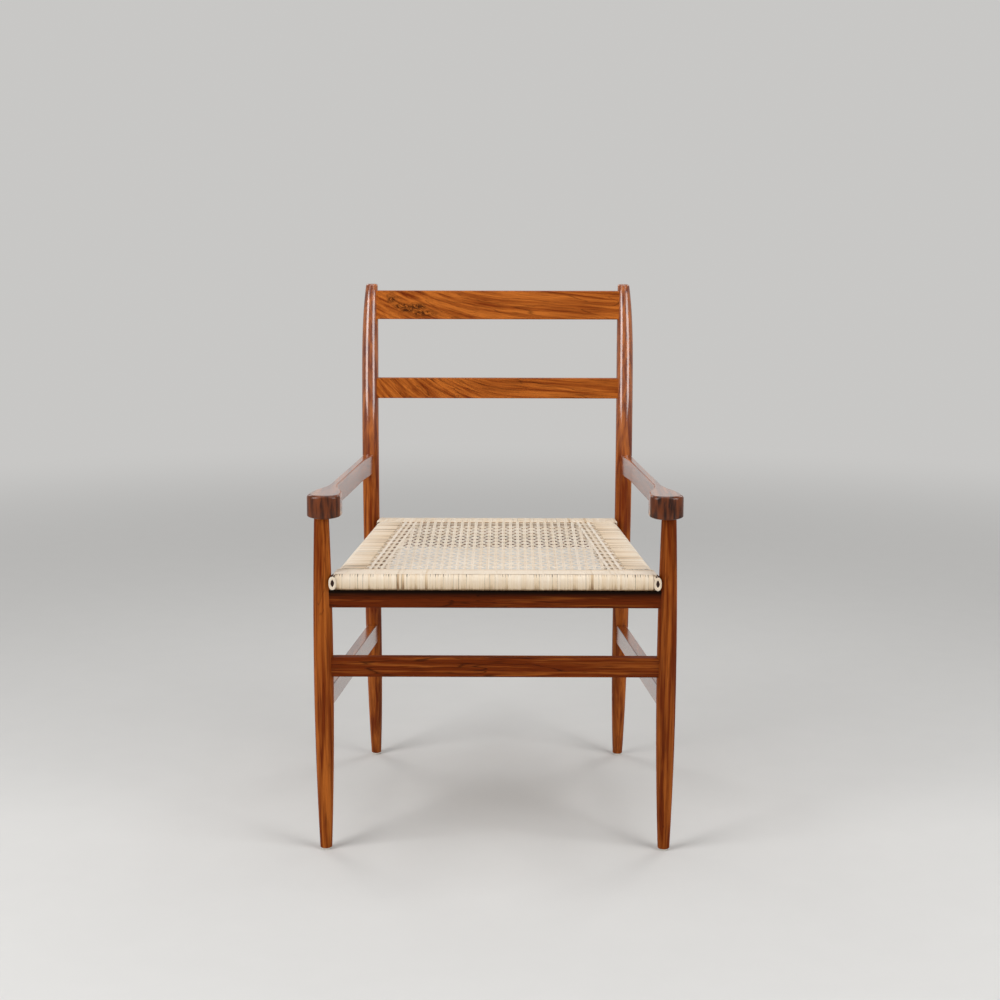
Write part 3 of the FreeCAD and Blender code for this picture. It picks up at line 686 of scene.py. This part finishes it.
class ARMCHAIR_OT_rails(bpy.types.Operator):
    """Finish the straight rails, the hidden seat bars, the screws and the glides"""

    bl_idname = "armchair.rails"
    bl_label = "Rails and fittings"

    def execute(self, context):
        finish = context.scene.armchair_finish
        # Painted shade darkens the tops of the seat rails under the seat
        under_seat = {"shade": (RAIL_TOP, RAIL_PAINTED_SHADE)}
        rails = {
            "crest_rail": {"tilt": CREST_TILT, "knots": CREST_KNOTS, "swirl": CREST_SWIRL},
            "back_slat": {"tilt": SLAT_TILT, "swirl": SLAT_SWIRL},
            "front_seat_rail": under_seat,
            "back_seat_rail": under_seat,
            "front_stretcher": {},
            "side_stretcher_left": {},
            "side_stretcher_right": {},
        }
        for node, figure in rails.items():
            dress(node, rosewood(node.replace("_", " "), finish, **figure))
        # The beech is coloured dark brown as painted shade, and dull
        bars = two_tone("Beech, planed and darkened as painted shade", BEECH_COLOURS, BEECH_MARKS, {"Roughness": 0.7})
        for part in ("front", "back", "left", "right"):
            dress("seat_frame_" + part, bars)
        # Nylon is milky and a little soft in its gloss
        milky = (finish.nylon, [c * NYLON_DULLER for c in finish.nylon])
        dress("foot_glides", two_tone("Nylon, moulded", milky, NYLON_MARKS,
                                      {"Roughness": 0.42, "IOR": 1.53}))
        # Zinc gives a bluish bright metal, dulled by handling
        dress("seat_screws", two_tone("Steel, zinc plated", ZINC_COLOURS, ZINC_MARKS,
                                      {"Metallic": 1.0, "Roughness": 0.35}))
        return {"FINISHED"}


# Cane

# Random seed, warmth, spread of tones and share of brown streaks of each set of strands
STRAND_TONES = {
    "front": (11, 0.27, 0.36, 0.03),
    "back": (12, 0.27, 0.36, 0.03),
    "left": (19, 0.0, 0.75, 0.14),
    "right": (21, 0.0, 0.75, 0.14),
    "loop_left": (29, 0.1, 0.7, 0.06),
    "loop_right": (31, 0.1, 0.7, 0.06),
    "lengthwise": (41, 0.0, 0.7, 0.06),
    "crosswise": (42, 0.0, 0.7, 0.06),
    "borders": (43, 0.0, 0.7, 0.06),
    "diagonal_left": (43, 0.0, 0.7, 0.06),
    "diagonal_right": (45, 0.0, 0.7, 0.06),
}
# Shape of the spread of tones, and how much browner a streak is
TONE_SHAPE = (2.2, 3.4)
STREAK_TONE = 0.35
# Section of a strand: shares of its width to the side and of its thickness down
STRAND_PROFILE = ((-0.5, -0.55), (-0.26, -0.08), (0.26, -0.08), (0.5, -0.55), (0.0, -1.0))


class Bundle:
    """Collects a set's cane strands into one mesh, each strand with its own tone."""

    def __init__(self, name):
        seed, self.warmth, self.spread, self.streaks = STRAND_TONES[name]
        self.random = random.Random(seed)
        self.verts = []
        self.faces = []
        self.tones = []

    def pick_tone(self):
        """A tone that is mostly pale, now and then a brown streak."""
        tone = self.warmth + self.random.betavariate(*TONE_SHAPE) * self.spread
        return tone + STREAK_TONE if self.random.random() < self.streaks else tone

    def add(self, points, normals, across, width, thickness, closed, darker=None, shares=None):
        """A strand along points, crowned to its normals; darker, which carries the painted shade, and
        shares change tone and width.
        """
        tone = self.pick_tone()
        start = len(self.verts)
        for i, (point, normal, side) in enumerate(zip(points, normals, across)):
            wide = width * (shares[i] if shares else 1)
            for share, depth in STRAND_PROFILE:
                self.verts.append(point + side * (share * wide) + normal * (depth * thickness))
                self.tones.append(tone + (darker[i] if darker else 0))
        n = len(STRAND_PROFILE)
        count = len(points)
        for i in range(count if closed else count - 1):
            a = start + i * n
            b = start + (i + 1) % count * n
            for j in range(n):
                k = (j + 1) % n
                self.faces.append((a + j, a + k, b + k, b + j))
        if not closed:
            self.faces.append(tuple(range(start, start + n))[::-1])
            self.faces.append(tuple(range(start + (count - 1) * n, start + count * n)))

    def mesh(self, name):
        """The mesh, with its tones as an attribute of its points."""
        mesh = bpy.data.meshes.new(name)
        mesh.from_pydata(self.verts, [], self.faces)
        attribute = mesh.attributes.new("tone", "FLOAT", "POINT")
        attribute.data.foreach_set("value", self.tones)
        bm = bmesh.new()
        bm.from_mesh(mesh)
        return fill_mesh(mesh, bm, STRAND_SHARP)


def side_x(cane, y):
    """Seat's half width at a distance behind the front leg axes."""
    seat_post_x = POST_FOOT_X + (POST_TOP_X - POST_FOOT_X) * POST_KNEE / POST_TOP
    return LEG_X - (LEG_X - seat_post_x) * y / POST_BACK - cane.side_inset


def field_edges(cane):
    """Front and back of the woven field, measured behind the front leg axes."""
    return cane.bar - cane.front_overhang, POST_BACK - cane.back_gap - cane.bar


# Roundings of a wound bar, and steps round each
OUTER_TOP_ROUND = 11 * MM
OUTER_LOW_ROUND = 6 * MM
INNER_ROUND = 2.5 * MM
OUTER_TOP_STEPS = 6
OUTER_LOW_STEPS = 4
INNER_STEPS = 3
# Extra tones: painted shade inside the seat and low down, and browner towards its middle
END_INNER_SHADE = 1.3
SIDE_INNER_SHADE = 0.45
INWARD_TONE = 0.35
LOW_SHADE = 0.5
# Widths of the strips by chance, how far they stand proud or sway, and their pinch at a bend
ACROSS_WIDER = (1.0, 1.12)
ALONG_WIDER = (0.98, 1.1)
LIFT = (-0.3 * MM, 0.1 * MM)
SWAY = (-0.3 * MM, 0.3 * MM)
BEND_SHARES = (0.72, 1.05)
BEND_OUT = (-0.7, -0.2)
# How far the windings of the front and back bars stop short of the seat's sides
FRONT_LACK = 3.2 * MM
BACK_LACK = 0.5 * MM
# Strips over the ends of the front and back bars
END_COVER_FRONT = -13 * MM
END_COVER_ROUND = 4.5 * MM
END_COVER_SUNK = 0.4 * MM
END_SPARE = 3 * MM
BACK_SEAM = 2 * MM
# Inward share of a normal below which a strip's face looks outward, up or down
FACING_IN = 0.001
# Ring at each end of the front roll: place, half sizes, extra width above and below, and strip thicknesses
LOOP_INSET = 10.8 * MM
LOOP_HALF = 5.6 * MM
LOOP_RISE = 9.4 * MM
LOOP_DROP = 1.0 * MM
LOOP_BACK = -0.5 * MM
LOOP_WIDER = 0.7
LOOP_THICKER = 2
LOOP_STEPS = 36
# Sizes of the marks on the wound strips in millimetres
UPRIGHT_MARKS = (1.4, 30, 30)
LEVEL_MARKS = (26, 1.3, 26)


def bar_section(cane, top_round=OUTER_TOP_ROUND):
    """Outline of a wound bar: each point's distance in from the outer edge, height and normal."""
    inner_x = cane.bar - INNER_ROUND
    corners = (
        (inner_x, SEAT_TOP - INNER_ROUND, INNER_ROUND, 0, INNER_STEPS),
        (top_round, SEAT_TOP - top_round, top_round, 90, OUTER_TOP_STEPS),
        (OUTER_LOW_ROUND, RAIL_TOP + OUTER_LOW_ROUND, OUTER_LOW_ROUND, 180, OUTER_LOW_STEPS),
        (inner_x, RAIL_TOP + INNER_ROUND, INNER_ROUND, 270, INNER_STEPS),
    )
    section = []
    for centre_in, centre_z, radius, start, steps in corners:
        for i in range(steps):
            turn = math.radians(start + 90 * i / (steps - 1))
            inward, rise = math.cos(turn), math.sin(turn)
            section.append((centre_in + radius * inward, centre_z + radius * rise, inward, rise))
    return section


def wound_tone(section, cane, inner_shade, inward_tone):
    """Extra tone round a strip: painted shade on its faces inside the seat and below, painted shade
    growing towards the bottom, browner towards its middle.
    """
    tones = []
    for distance, z, _, _ in section:
        inside = distance > cane.bar - INNER_ROUND and z < SEAT_TOP - INNER_ROUND / 2
        if inside or z < RAIL_TOP + MM:
            tones.append(inner_shade)
        else:
            down = (SEAT_TOP - z) / (SEAT_TOP - RAIL_TOP)
            tones.append(inward_tone * (distance / cane.bar) ** 2 + LOW_SHADE * down ** 2)
    return tones


def ease(past_start, reach):
    """How far a quarter round has fallen away, as a share of its reach."""
    share = min(max(past_start / reach, 0), 1)
    return 1 - math.sqrt(1 - share * share)


def wind_across(cane, name):
    """Strips wound round the front or back bar, fanned between the sides, rounded off at its ends."""
    if name == "front":
        outer_y, inward, lack, end_round = -cane.front_overhang, 1, FRONT_LACK, OUTER_TOP_ROUND
    else:
        outer_y, inward, lack, end_round = POST_BACK - cane.back_gap, -1, BACK_LACK, END_COVER_ROUND
    bundle = Bundle(name)
    section = bar_section(cane)
    shade = wound_tone(section, cane, END_INNER_SHADE, 0)
    reference = side_x(cane, max(outer_y, 0)) - lack
    count = int(2 * reference / cane.strip)
    middle_z = (SEAT_TOP + RAIL_TOP) / 2
    for i in range(count):
        middle = (i + 0.5) / count * 2 - 1
        width = cane.strip * bundle.random.uniform(*ACROSS_WIDER)
        lift = bundle.random.uniform(*LIFT)
        sway = bundle.random.uniform(*SWAY)
        fall = ease(end_round - lack - (1 - abs(middle)) * reference, end_round)
        bend = bundle.random.uniform(*BEND_SHARES)
        points, normals, across, shares = [], [], [], []
        for distance, z, out, rise in section:
            # The end is rounded off most on its outside and not at all further in
            near_outside = fall * max(0, 1 - distance / (OUTER_TOP_ROUND * 2))
            y = outer_y + inward * (distance + near_outside * end_round / 2)
            z -= near_outside * (end_round if z > middle_z else -OUTER_LOW_ROUND)
            x = middle * (side_x(cane, max(y, 0)) - lack) + sway
            normal = Vector((0, inward * out, rise))
            points.append(Vector((x, LEG_Y + y, z)) + normal * lift)
            normals.append(normal)
            across.append(Vector((1, 0, 0)))
            # A strip is pinched where it bends down to the outside, so that gaps show there
            shares.append(bend if BEND_OUT[0] < out < BEND_OUT[1] and rise > 0 else 1)
        bundle.add(points, normals, across, width, cane.winding, True, shade, shares)
    return bundle


def wind_along(cane, name):
    """Strips wound round a side bar, level with the chair's front."""
    side = SIDES[name]
    bundle = Bundle(name)
    front, back = field_edges(cane)
    # The bar's whole length is wound; the ends of the front and back bars are covered on their outsides
    whole = bar_section(cane)
    outside = [corner for corner in bar_section(cane, END_COVER_ROUND)
               if corner[0] < OUTER_TOP_ROUND and corner[2] < FACING_IN]
    stretches = (
        (front, back - BACK_SEAM, whole, 0),
        (END_COVER_FRONT, front, outside, END_COVER_SUNK),
        (back - BACK_SEAM, POST_BACK - cane.back_gap - END_SPARE, outside, END_COVER_SUNK),
    )
    for start, end, section, sunk in stretches:
        shade = wound_tone(section, cane, SIDE_INNER_SHADE, INWARD_TONE)
        count = int((end - start) / cane.strip)
        for i in range(count):
            middle = start + (i + 0.5) / count * (end - start)
            edge = side_x(cane, max(middle, 0))
            width = cane.strip * bundle.random.uniform(*ALONG_WIDER)
            lift = bundle.random.uniform(*LIFT) - sunk
            y = LEG_Y + middle + bundle.random.uniform(*SWAY)
            normals = [Vector((-side * out, 0, rise)) for _, _, out, rise in section]
            points = [Vector((side * (edge - distance), y, z)) + normal * lift
                      for (distance, z, _, _), normal in zip(section, normals)]
            across = [Vector((0, 1, 0))] * len(section)
            bundle.add(points, normals, across, width, cane.winding, section is whole, shade)
    return bundle


def end_loop(cane, name):
    """Strand that rings the end of the front roll like an eye, in front of the bar's end, which is dark as
    painted shade.
    """
    side = SIDES[name]
    bundle = Bundle("loop_" + name)
    half_x = LOOP_HALF - cane.loop / 2
    half_z = LOOP_RISE - cane.loop / 2
    middle = Vector((side * (LEG_X - LOOP_INSET - LOOP_HALF), LEG_Y - cane.front_overhang + LOOP_BACK,
                     (SEAT_TOP + RAIL_TOP) / 2 - LOOP_DROP))
    points, across, shares = [], [], []
    for i in range(LOOP_STEPS):
        turn = 2 * math.pi * i / LOOP_STEPS
        right, rise = side * math.cos(turn), math.sin(turn)
        points.append(middle + Vector((half_x * right, 0, half_z * rise)))
        across.append(Vector((right / half_x, 0, rise / half_z)).normalized())
        shares.append(1 + LOOP_WIDER * abs(rise))
    normals = [Vector((0, -1, 0))] * LOOP_STEPS
    thickness = cane.winding * LOOP_THICKER
    bundle.add(points, normals, across, cane.loop, thickness, True, None, shares)
    return bundle


class ARMCHAIR_OT_windings(bpy.types.Operator):
    """Wind the cane round the four bars of the seat"""

    bl_idname = "armchair.windings"
    bl_label = "Cane windings"

    def execute(self, context):
        cane = context.scene.armchair_cane
        finish = context.scene.armchair_finish
        upright = rattan("wound front to back", finish, UPRIGHT_MARKS)
        level = rattan("wound side to side", finish, LEVEL_MARKS)
        windings = {
            "front": (wind_across, upright),
            "back": (wind_across, upright),
            "left": (wind_along, level),
            "right": (wind_along, level),
        }
        for name, (wind, material) in windings.items():
            mesh = wind(cane, name).mesh("wound_cane")
            new_piece("wound_cane_" + name, mesh, [material], ["cane_wrap_" + name])
        for name in SIDES:
            mesh = end_loop(cane, name).mesh("cane_end_loop")
            new_piece("cane_end_loop_" + name, mesh, [upright], [])
        return {"FINISHED"}


# Field: how far it lies below the seat's top, how far strands rise over each other, gaps and tucked ends
FIELD_DROP = 0.9 * MM
WEAVE_RISE = 0.2 * MM
DIAGONAL_RISE = 0.25 * MM
STRAND_GAP = 0.15 * MM
TUCK = 4 * MM
TUCK_DROP = 0.4 * MM
END_MARGIN = 1 * MM
FEWEST_POINTS = 4
# Strands along the side bars: number, start, draw of the crosswise pairs, and width
BORDER_STRANDS = 3
BORDER_START = 0.3
BORDER_DRAW = 0.24
BORDER_WIDER = 2.1
# Strands of the lower layer in the gaps between them, browner as painted shade
UNDER_DROP = 1.3 * MM
UNDER_COVER = 0.7
UNDER_SHADE = 0.7
# Strands laid along the front bar
BINDER_FRONT = -6 * MM
BINDER_COVER = 0.93
BINDER_SHORT = 2 * MM
BINDER_RISE = 0.06 * MM
# Diagonals: rows without them at the back, reach into the border, and thinness
DIAGONAL_ROWS_SHORT = 1.5
DIAGONAL_SPARE = 3 * MM
DIAGONAL_THINNER = 0.8
# Size of the marks on the woven strands in millimetres
WOVEN_MARKS = (3, 3, 3)


def field_half(cane, y):
    """Half width of the woven field."""
    return side_x(cane, y) - cane.bar


def inner_half(cane, y):
    """Half width of the woven field between its border strands."""
    return field_half(cane, y) - BORDER_STRANDS * cane.border


def border_x(cane, y, k):
    """Half distance between the two k-th strands along the side bars."""
    return field_half(cane, y) - (k - BORDER_START) * cane.border


def field_rows(cane):
    """Places of the crosswise pairs, evenly spaced and centred between front and back of the field."""
    front, back = field_edges(cane)
    count = int((back - front) / cane.row_pitch)
    first = (front + back - (count - 1) * cane.row_pitch) / 2
    return [first + i * cane.row_pitch for i in range(count)]


def pair(width):
    """Sideways places of the two strands of a pair."""
    apart = width / 2 + STRAND_GAP
    return -apart, apart


def add_level_strand(bundle, path, width, thickness, darker=0):
    """Strand that lies level, crowned upwards, with an extra tone."""
    points = [Vector((x, LEG_Y + y, SEAT_TOP - FIELD_DROP + z)) for x, y, z in path]
    count = len(points)
    across = []
    for i in range(count):
        run = points[min(i + 1, count - 1)] - points[max(i - 1, 0)]
        across.append(Vector((run.y, -run.x, 0)).normalized())
    bundle.add(points, [UP] * count, across, width, thickness, False, [darker] * count)


def lengthwise(cane):
    """Pairs of strands from the front bar to the back bar."""
    bundle = Bundle("lengthwise")
    front, back = field_edges(cane)
    half = int(inner_half(cane, front) / cane.pitch)
    slope = (side_x(cane, 0) - side_x(cane, POST_BACK)) / POST_BACK
    for column in range(-half, half + 1):
        for member, shift in enumerate(pair(cane.strand)):
            x = column * cane.pitch + shift
            spare = inner_half(cane, front) - abs(x)
            end = min(back + TUCK, front + spare / slope)
            path = [(x, front - TUCK, -TUCK_DROP)]
            for row in field_rows(cane):
                for other, step in enumerate(pair(cane.cross)):
                    path.append((x, row + step, WEAVE_RISE if member == other else -WEAVE_RISE))
                path.append((x, row + cane.row_pitch / 2, 0))
            path = [p for p in path if p[1] < end - END_MARGIN] + [(x, end, -TUCK_DROP)]
            if len(path) >= FEWEST_POINTS:
                add_level_strand(bundle, path, cane.strand, cane.thickness)
    return bundle


def crosswise(cane):
    """Pairs of strands from side bar to side bar, drawn together two by two along the side bars."""
    bundle = Bundle("crosswise")
    for i, row in enumerate(field_rows(cane)):
        drawn = BORDER_DRAW * cane.row_pitch * (-1) ** i
        for member, shift in enumerate(pair(cane.cross)):
            y = row + shift
            half = int(inner_half(cane, y) / cane.pitch)
            border = [(field_half(cane, y) + TUCK, -TUCK_DROP)]
            for k in range(1, BORDER_STRANDS + 1):
                border.append((border_x(cane, y, k), WEAVE_RISE if (i // 2 + k) % 2 else -WEAVE_RISE))
            path = [(-x, y + drawn, z) for x, z in border]
            for column in range(-half, half + 1):
                for other, step in enumerate(pair(cane.strand)):
                    rise = -WEAVE_RISE if member == other else WEAVE_RISE
                    path.append((column * cane.pitch + step, y, rise))
            path += [(x, y + drawn, z) for x, z in border[::-1]]
            add_level_strand(bundle, path, cane.cross, cane.thickness)
    return bundle


def borders(cane):
    """Strands along the side bars, over and under the drawn pairs, and along the front bar."""
    bundle = Bundle("borders")
    front, back = field_edges(cane)
    for side in SIDES.values():
        for k in range(1, BORDER_STRANDS + 1):
            path = [(side * border_x(cane, front, k), front - TUCK, 0)]
            for i, row in enumerate(field_rows(cane)):
                rise = -WEAVE_RISE if (i // 2 + k) % 2 else WEAVE_RISE
                path.append((side * border_x(cane, row, k), row, rise))
            path.append((side * border_x(cane, back, k), back + TUCK, 0))
            add_level_strand(bundle, path, cane.strand * BORDER_WIDER, cane.thickness)
        # A strand of the lower layer, browner as painted shade, shows through each gap
        for k in range(BORDER_STRANDS + 1):
            ends = (front - TUCK, back + TUCK)
            under = [(side * border_x(cane, y, k + 0.5), y, -UNDER_DROP) for y in ends]
            add_level_strand(bundle, under, cane.border * UNDER_COVER, cane.thickness, UNDER_SHADE)
    for i in range(int((front - BINDER_FRONT) / cane.binder)):
        y = BINDER_FRONT + i * cane.binder
        half = side_x(cane, max(y, 0)) - BINDER_SHORT
        past_round = max(0, OUTER_TOP_ROUND - cane.front_overhang - y)
        fall = OUTER_TOP_ROUND - math.sqrt(OUTER_TOP_ROUND ** 2 - past_round ** 2)
        z = FIELD_DROP + BINDER_RISE - fall
        ends = ((half, z - TUCK_DROP), (half - TUCK, z))
        path = [(-x, y, z) for x, z in ends] + [(x, y, z) for x, z in ends[::-1]]
        add_level_strand(bundle, path, cane.binder * BINDER_COVER, cane.thickness)
    return bundle


def diagonals(cane, name):
    """Pairs of diagonal strands that cross on every other lengthwise pair, between the crosswise pairs."""
    direction = SIDES[name]
    bundle = Bundle("diagonal_" + name)
    rows = field_rows(cane)
    last = rows[-1] - DIAGONAL_ROWS_SHORT * cane.row_pitch
    reach = int(field_half(cane, rows[0]) / cane.pitch) + len(rows)
    steepness = math.sin(math.atan2(cane.row_pitch, cane.pitch))
    for start in range(-reach - reach % 2, reach, 2):
        path = []
        for i, row in enumerate(rows):
            for part in (0, 0.5):
                x = (start + direction * (i + part - 0.5)) * cane.pitch
                y = row + part * cane.row_pitch
                if abs(x) < inner_half(cane, y) + DIAGONAL_SPARE and y < last:
                    over = direction if part == 0 else -direction
                    path.append((x, y, over * DIAGONAL_RISE))
        if len(path) >= FEWEST_POINTS:
            for beside in (-1, 1):
                apart = beside * (cane.diagonal + STRAND_GAP) / 2 / steepness
                shifted = [(x + apart, y, z) for x, y, z in path]
                add_level_strand(bundle, shifted, cane.diagonal, cane.thickness * DIAGONAL_THINNER)
    return bundle


class ARMCHAIR_OT_weave(bpy.types.Operator):
    """Weave the cane field of the seat"""

    bl_idname = "armchair.weave"
    bl_label = "Cane weave"

    def execute(self, context):
        cane = context.scene.armchair_cane
        material = rattan("woven", context.scene.armchair_finish, WOVEN_MARKS)
        sets = {
            "woven_cane_lengthwise": (lengthwise(cane), ["cane_lengthwise"]),
            "woven_cane_crosswise": (crosswise(cane), ["cane_crosswise"]),
            "woven_cane_borders": (borders(cane), []),
            "woven_cane_diagonal_left": (diagonals(cane, "left"), ["cane_diagonal_left"]),
            "woven_cane_diagonal_right": (diagonals(cane, "right"), ["cane_diagonal_right"]),
        }
        for name, (bundle, nodes) in sets.items():
            new_piece(name, bundle.mesh(name), [material], nodes)
        return {"FINISHED"}


# Stage

# Camera: lens and sensor in millimetres, place in metres, angles in radians
LENS = 70.18
SENSOR = 36
CAMERA_X = 21.1 * MM
CAMERA_BEHIND = 2897.1 * MM
CAMERA_Z = 1080.4 * MM
CAMERA_PITCH = 0.1799
CAMERA_YAW = -0.0048
CAMERA_ROLL = 0.0017

# Lamps: place, aim, width and height in metres, power in watts; two low panels draw lines down the posts
CHAIR_MIDDLE = (0, 0, 0.5)
BACK_MIDDLE = (0, 0.2, 0.75)
LAMPS = {
    "Left softbox": ((-2.0, -2.0, 3.2), CHAIR_MIDDLE, 1.2, 3.0, 21),
    "Right softbox": ((1.6, -2.2, 3.2), CHAIR_MIDDLE, 1.1, 3.0, 17),
    "Overhead softbox": ((0, 0.1, 2.9), CHAIR_MIDDLE, 2.0, 2.0, 24),
    "Back left softbox": ((-1.9, 2.3, 2.5), CHAIR_MIDDLE, 1.2, 1.2, 18),
    "Back right softbox": ((1.9, 2.3, 2.5), CHAIR_MIDDLE, 1.2, 1.2, 18),
    "Left panel": ((-1.98, -1.49, 1.52), BACK_MIDDLE, 1.4, 1.3, 38),
    "Right panel": ((1.98, -1.49, 1.52), BACK_MIDDLE, 1.4, 1.3, 34),
}

# Floor's radius and sides, and the distances between which it fades into the room, in metres
FLOOR_REACH = 9.0
FLOOR_SIDES = 96
FADE_START = 1.4
FADE_END = 4.0
# Strength of the room as a light, and as it is seen
ROOM_LIGHT = 0.16
ROOM_PALE = 0.86
PAPER_MARKS = (60, 60, 60)
PAPER_DULLER = 0.97


def photo_camera():
    """Camera at the photograph's place, fitted to the chair's feet, rails and posts."""
    data = bpy.data.cameras.new("Photo camera")
    data.lens = LENS
    data.sensor_width = SENSOR
    camera = new_object("Photo camera", data)
    place = Matrix.Translation((CAMERA_X, LEG_Y - CAMERA_BEHIND, CAMERA_Z))
    for angle, axis in ((-CAMERA_YAW, "Z"), (math.pi / 2 - CAMERA_PITCH, "X"), (CAMERA_ROLL, "Z")):
        place = place @ Matrix.Rotation(angle, 4, axis)
    camera.matrix_world = place
    bpy.context.scene.camera = camera


def lamp(name, place, aim, width, height, power):
    """Rectangular studio lamp aimed at a point."""
    data = bpy.data.lights.new(name, "AREA")
    data.shape = "RECTANGLE"
    data.size = width
    data.size_y = height
    data.energy = power
    light = new_object(name, data)
    light.location = place
    light.rotation_euler = (Vector(aim) - Vector(place)).to_track_quat("-Z", "Y").to_euler()


def seen_directly(tree):
    """Node that is 1 for rays from the camera and for those that a shiny or clear surface sends on."""
    rays = add_node(tree, "LightPath").outputs
    either = add_node(tree, "Math", (rays["Is Camera Ray"], rays["Is Glossy Ray"]), operation="MAXIMUM")
    return add_node(tree, "Math", (either, rays["Is Transmission Ray"]), operation="MAXIMUM")


def studio_paper(finish):
    """Studio paper, matt: it keeps the shadow near the chair and fades into the pale room further out."""
    pale_grey = (finish.paper, [c * PAPER_DULLER for c in finish.paper])
    material = two_tone("Studio paper, matt", pale_grey, PAPER_MARKS,
                        {"Roughness": 0.9, "Specular IOR Level": 0.1})
    tree = material.node_tree
    place = add_node(tree, "TexCoord").outputs["Object"]
    away = add_node(tree, "VectorMath", (place,), operation="LENGTH")
    fade = add_node(tree, "MapRange", (away, FADE_START, FADE_END), interpolation_type="SMOOTHSTEP")
    share = add_node(tree, "Math", (fade, seen_directly(tree)), operation="MULTIPLY")
    pale = add_node(tree, "Emission", (opaque(finish.paper), ROOM_PALE))
    mixed = add_node(tree, "MixShader", (share, tree.nodes["Principled BSDF"], pale))
    feed(tree, tree.nodes["Material Output"], {"Surface": mixed})
    return material


def studio_floor(material):
    """Round floor under the chair."""
    bm = bmesh.new()
    bmesh.ops.create_circle(bm, cap_ends=True, radius=FLOOR_REACH, segments=FLOOR_SIDES)
    mesh = fill_mesh(bpy.data.meshes.new("studio_floor"), bm, ROUND_SHARP)
    mesh.materials.append(material)
    floor = new_object("studio_floor", mesh)


def pale_room(finish):
    """World that lights the chair dimly and is seen as pale as the paper."""
    world = bpy.data.worlds.new("Soft studio light")
    world.use_nodes = True
    tree = world.node_tree
    strength = add_node(tree, "MapRange", (seen_directly(tree), 0, 1, ROOM_LIGHT, ROOM_PALE))
    feed(tree, tree.nodes["Background"], {"Color": opaque(finish.paper), "Strength": strength})
    bpy.context.scene.world = world


class ARMCHAIR_OT_stage(bpy.types.Operator):
    """Set up the floor, the soft light and the camera"""

    bl_idname = "armchair.stage"
    bl_label = "Stage"

    def execute(self, context):
        finish = context.scene.armchair_finish
        studio_floor(studio_paper(finish))
        pale_room(finish)
        for name, settings in LAMPS.items():
            lamp(name, *settings)
        photo_camera()
        context.scene.view_settings.view_transform = "Standard"
        return {"FINISHED"}


class ARMCHAIR_PT_panel(bpy.types.Panel):
    """Lists the operators that make the armchair"""

    bl_idname = "ARMCHAIR_PT_panel"
    bl_label = "Armchair"
    bl_space_type = "VIEW_3D"
    bl_region_type = "UI"
    bl_category = "Armchair"

    def draw(self, context):
        for operator in OPERATORS:
            self.layout.operator(operator.bl_idname)
        for name, group in GROUPS.items():
            box = self.layout.box()
            for setting in group.__annotations__:
                box.prop(getattr(context.scene, name), setting)


OPERATORS = (ARMCHAIR_OT_stage, ARMCHAIR_OT_legs, ARMCHAIR_OT_posts, ARMCHAIR_OT_arms, ARMCHAIR_OT_rails,
             ARMCHAIR_OT_windings, ARMCHAIR_OT_weave)
GROUPS = {"armchair_wood": ArmchairWood, "armchair_cane": ArmchairCane, "armchair_finish": ArmchairFinish}


def register():
    """Registers the settings, operators and panel."""
    for cls in (*GROUPS.values(), *OPERATORS, ARMCHAIR_PT_panel):
        bpy.utils.register_class(cls)
    for name, group in GROUPS.items():
        setattr(bpy.types.Scene, name, bpy.props.PointerProperty(type=group))


def unregister():
    """Takes the settings, operators and panel out again."""
    for name in GROUPS:
        delattr(bpy.types.Scene, name)
    for cls in (ARMCHAIR_PT_panel, *OPERATORS[::-1], *GROUPS.values()):
        bpy.utils.unregister_class(cls)


def main():
    """Makes the stage and the chair."""
    register()
    bpy.ops.armchair.stage()
    bpy.ops.armchair.legs()
    bpy.ops.armchair.posts()
    bpy.ops.armchair.arms()
    bpy.ops.armchair.rails()
    bpy.ops.armchair.windings()
    bpy.ops.armchair.weave()


if __name__ == "__main__":
    main()
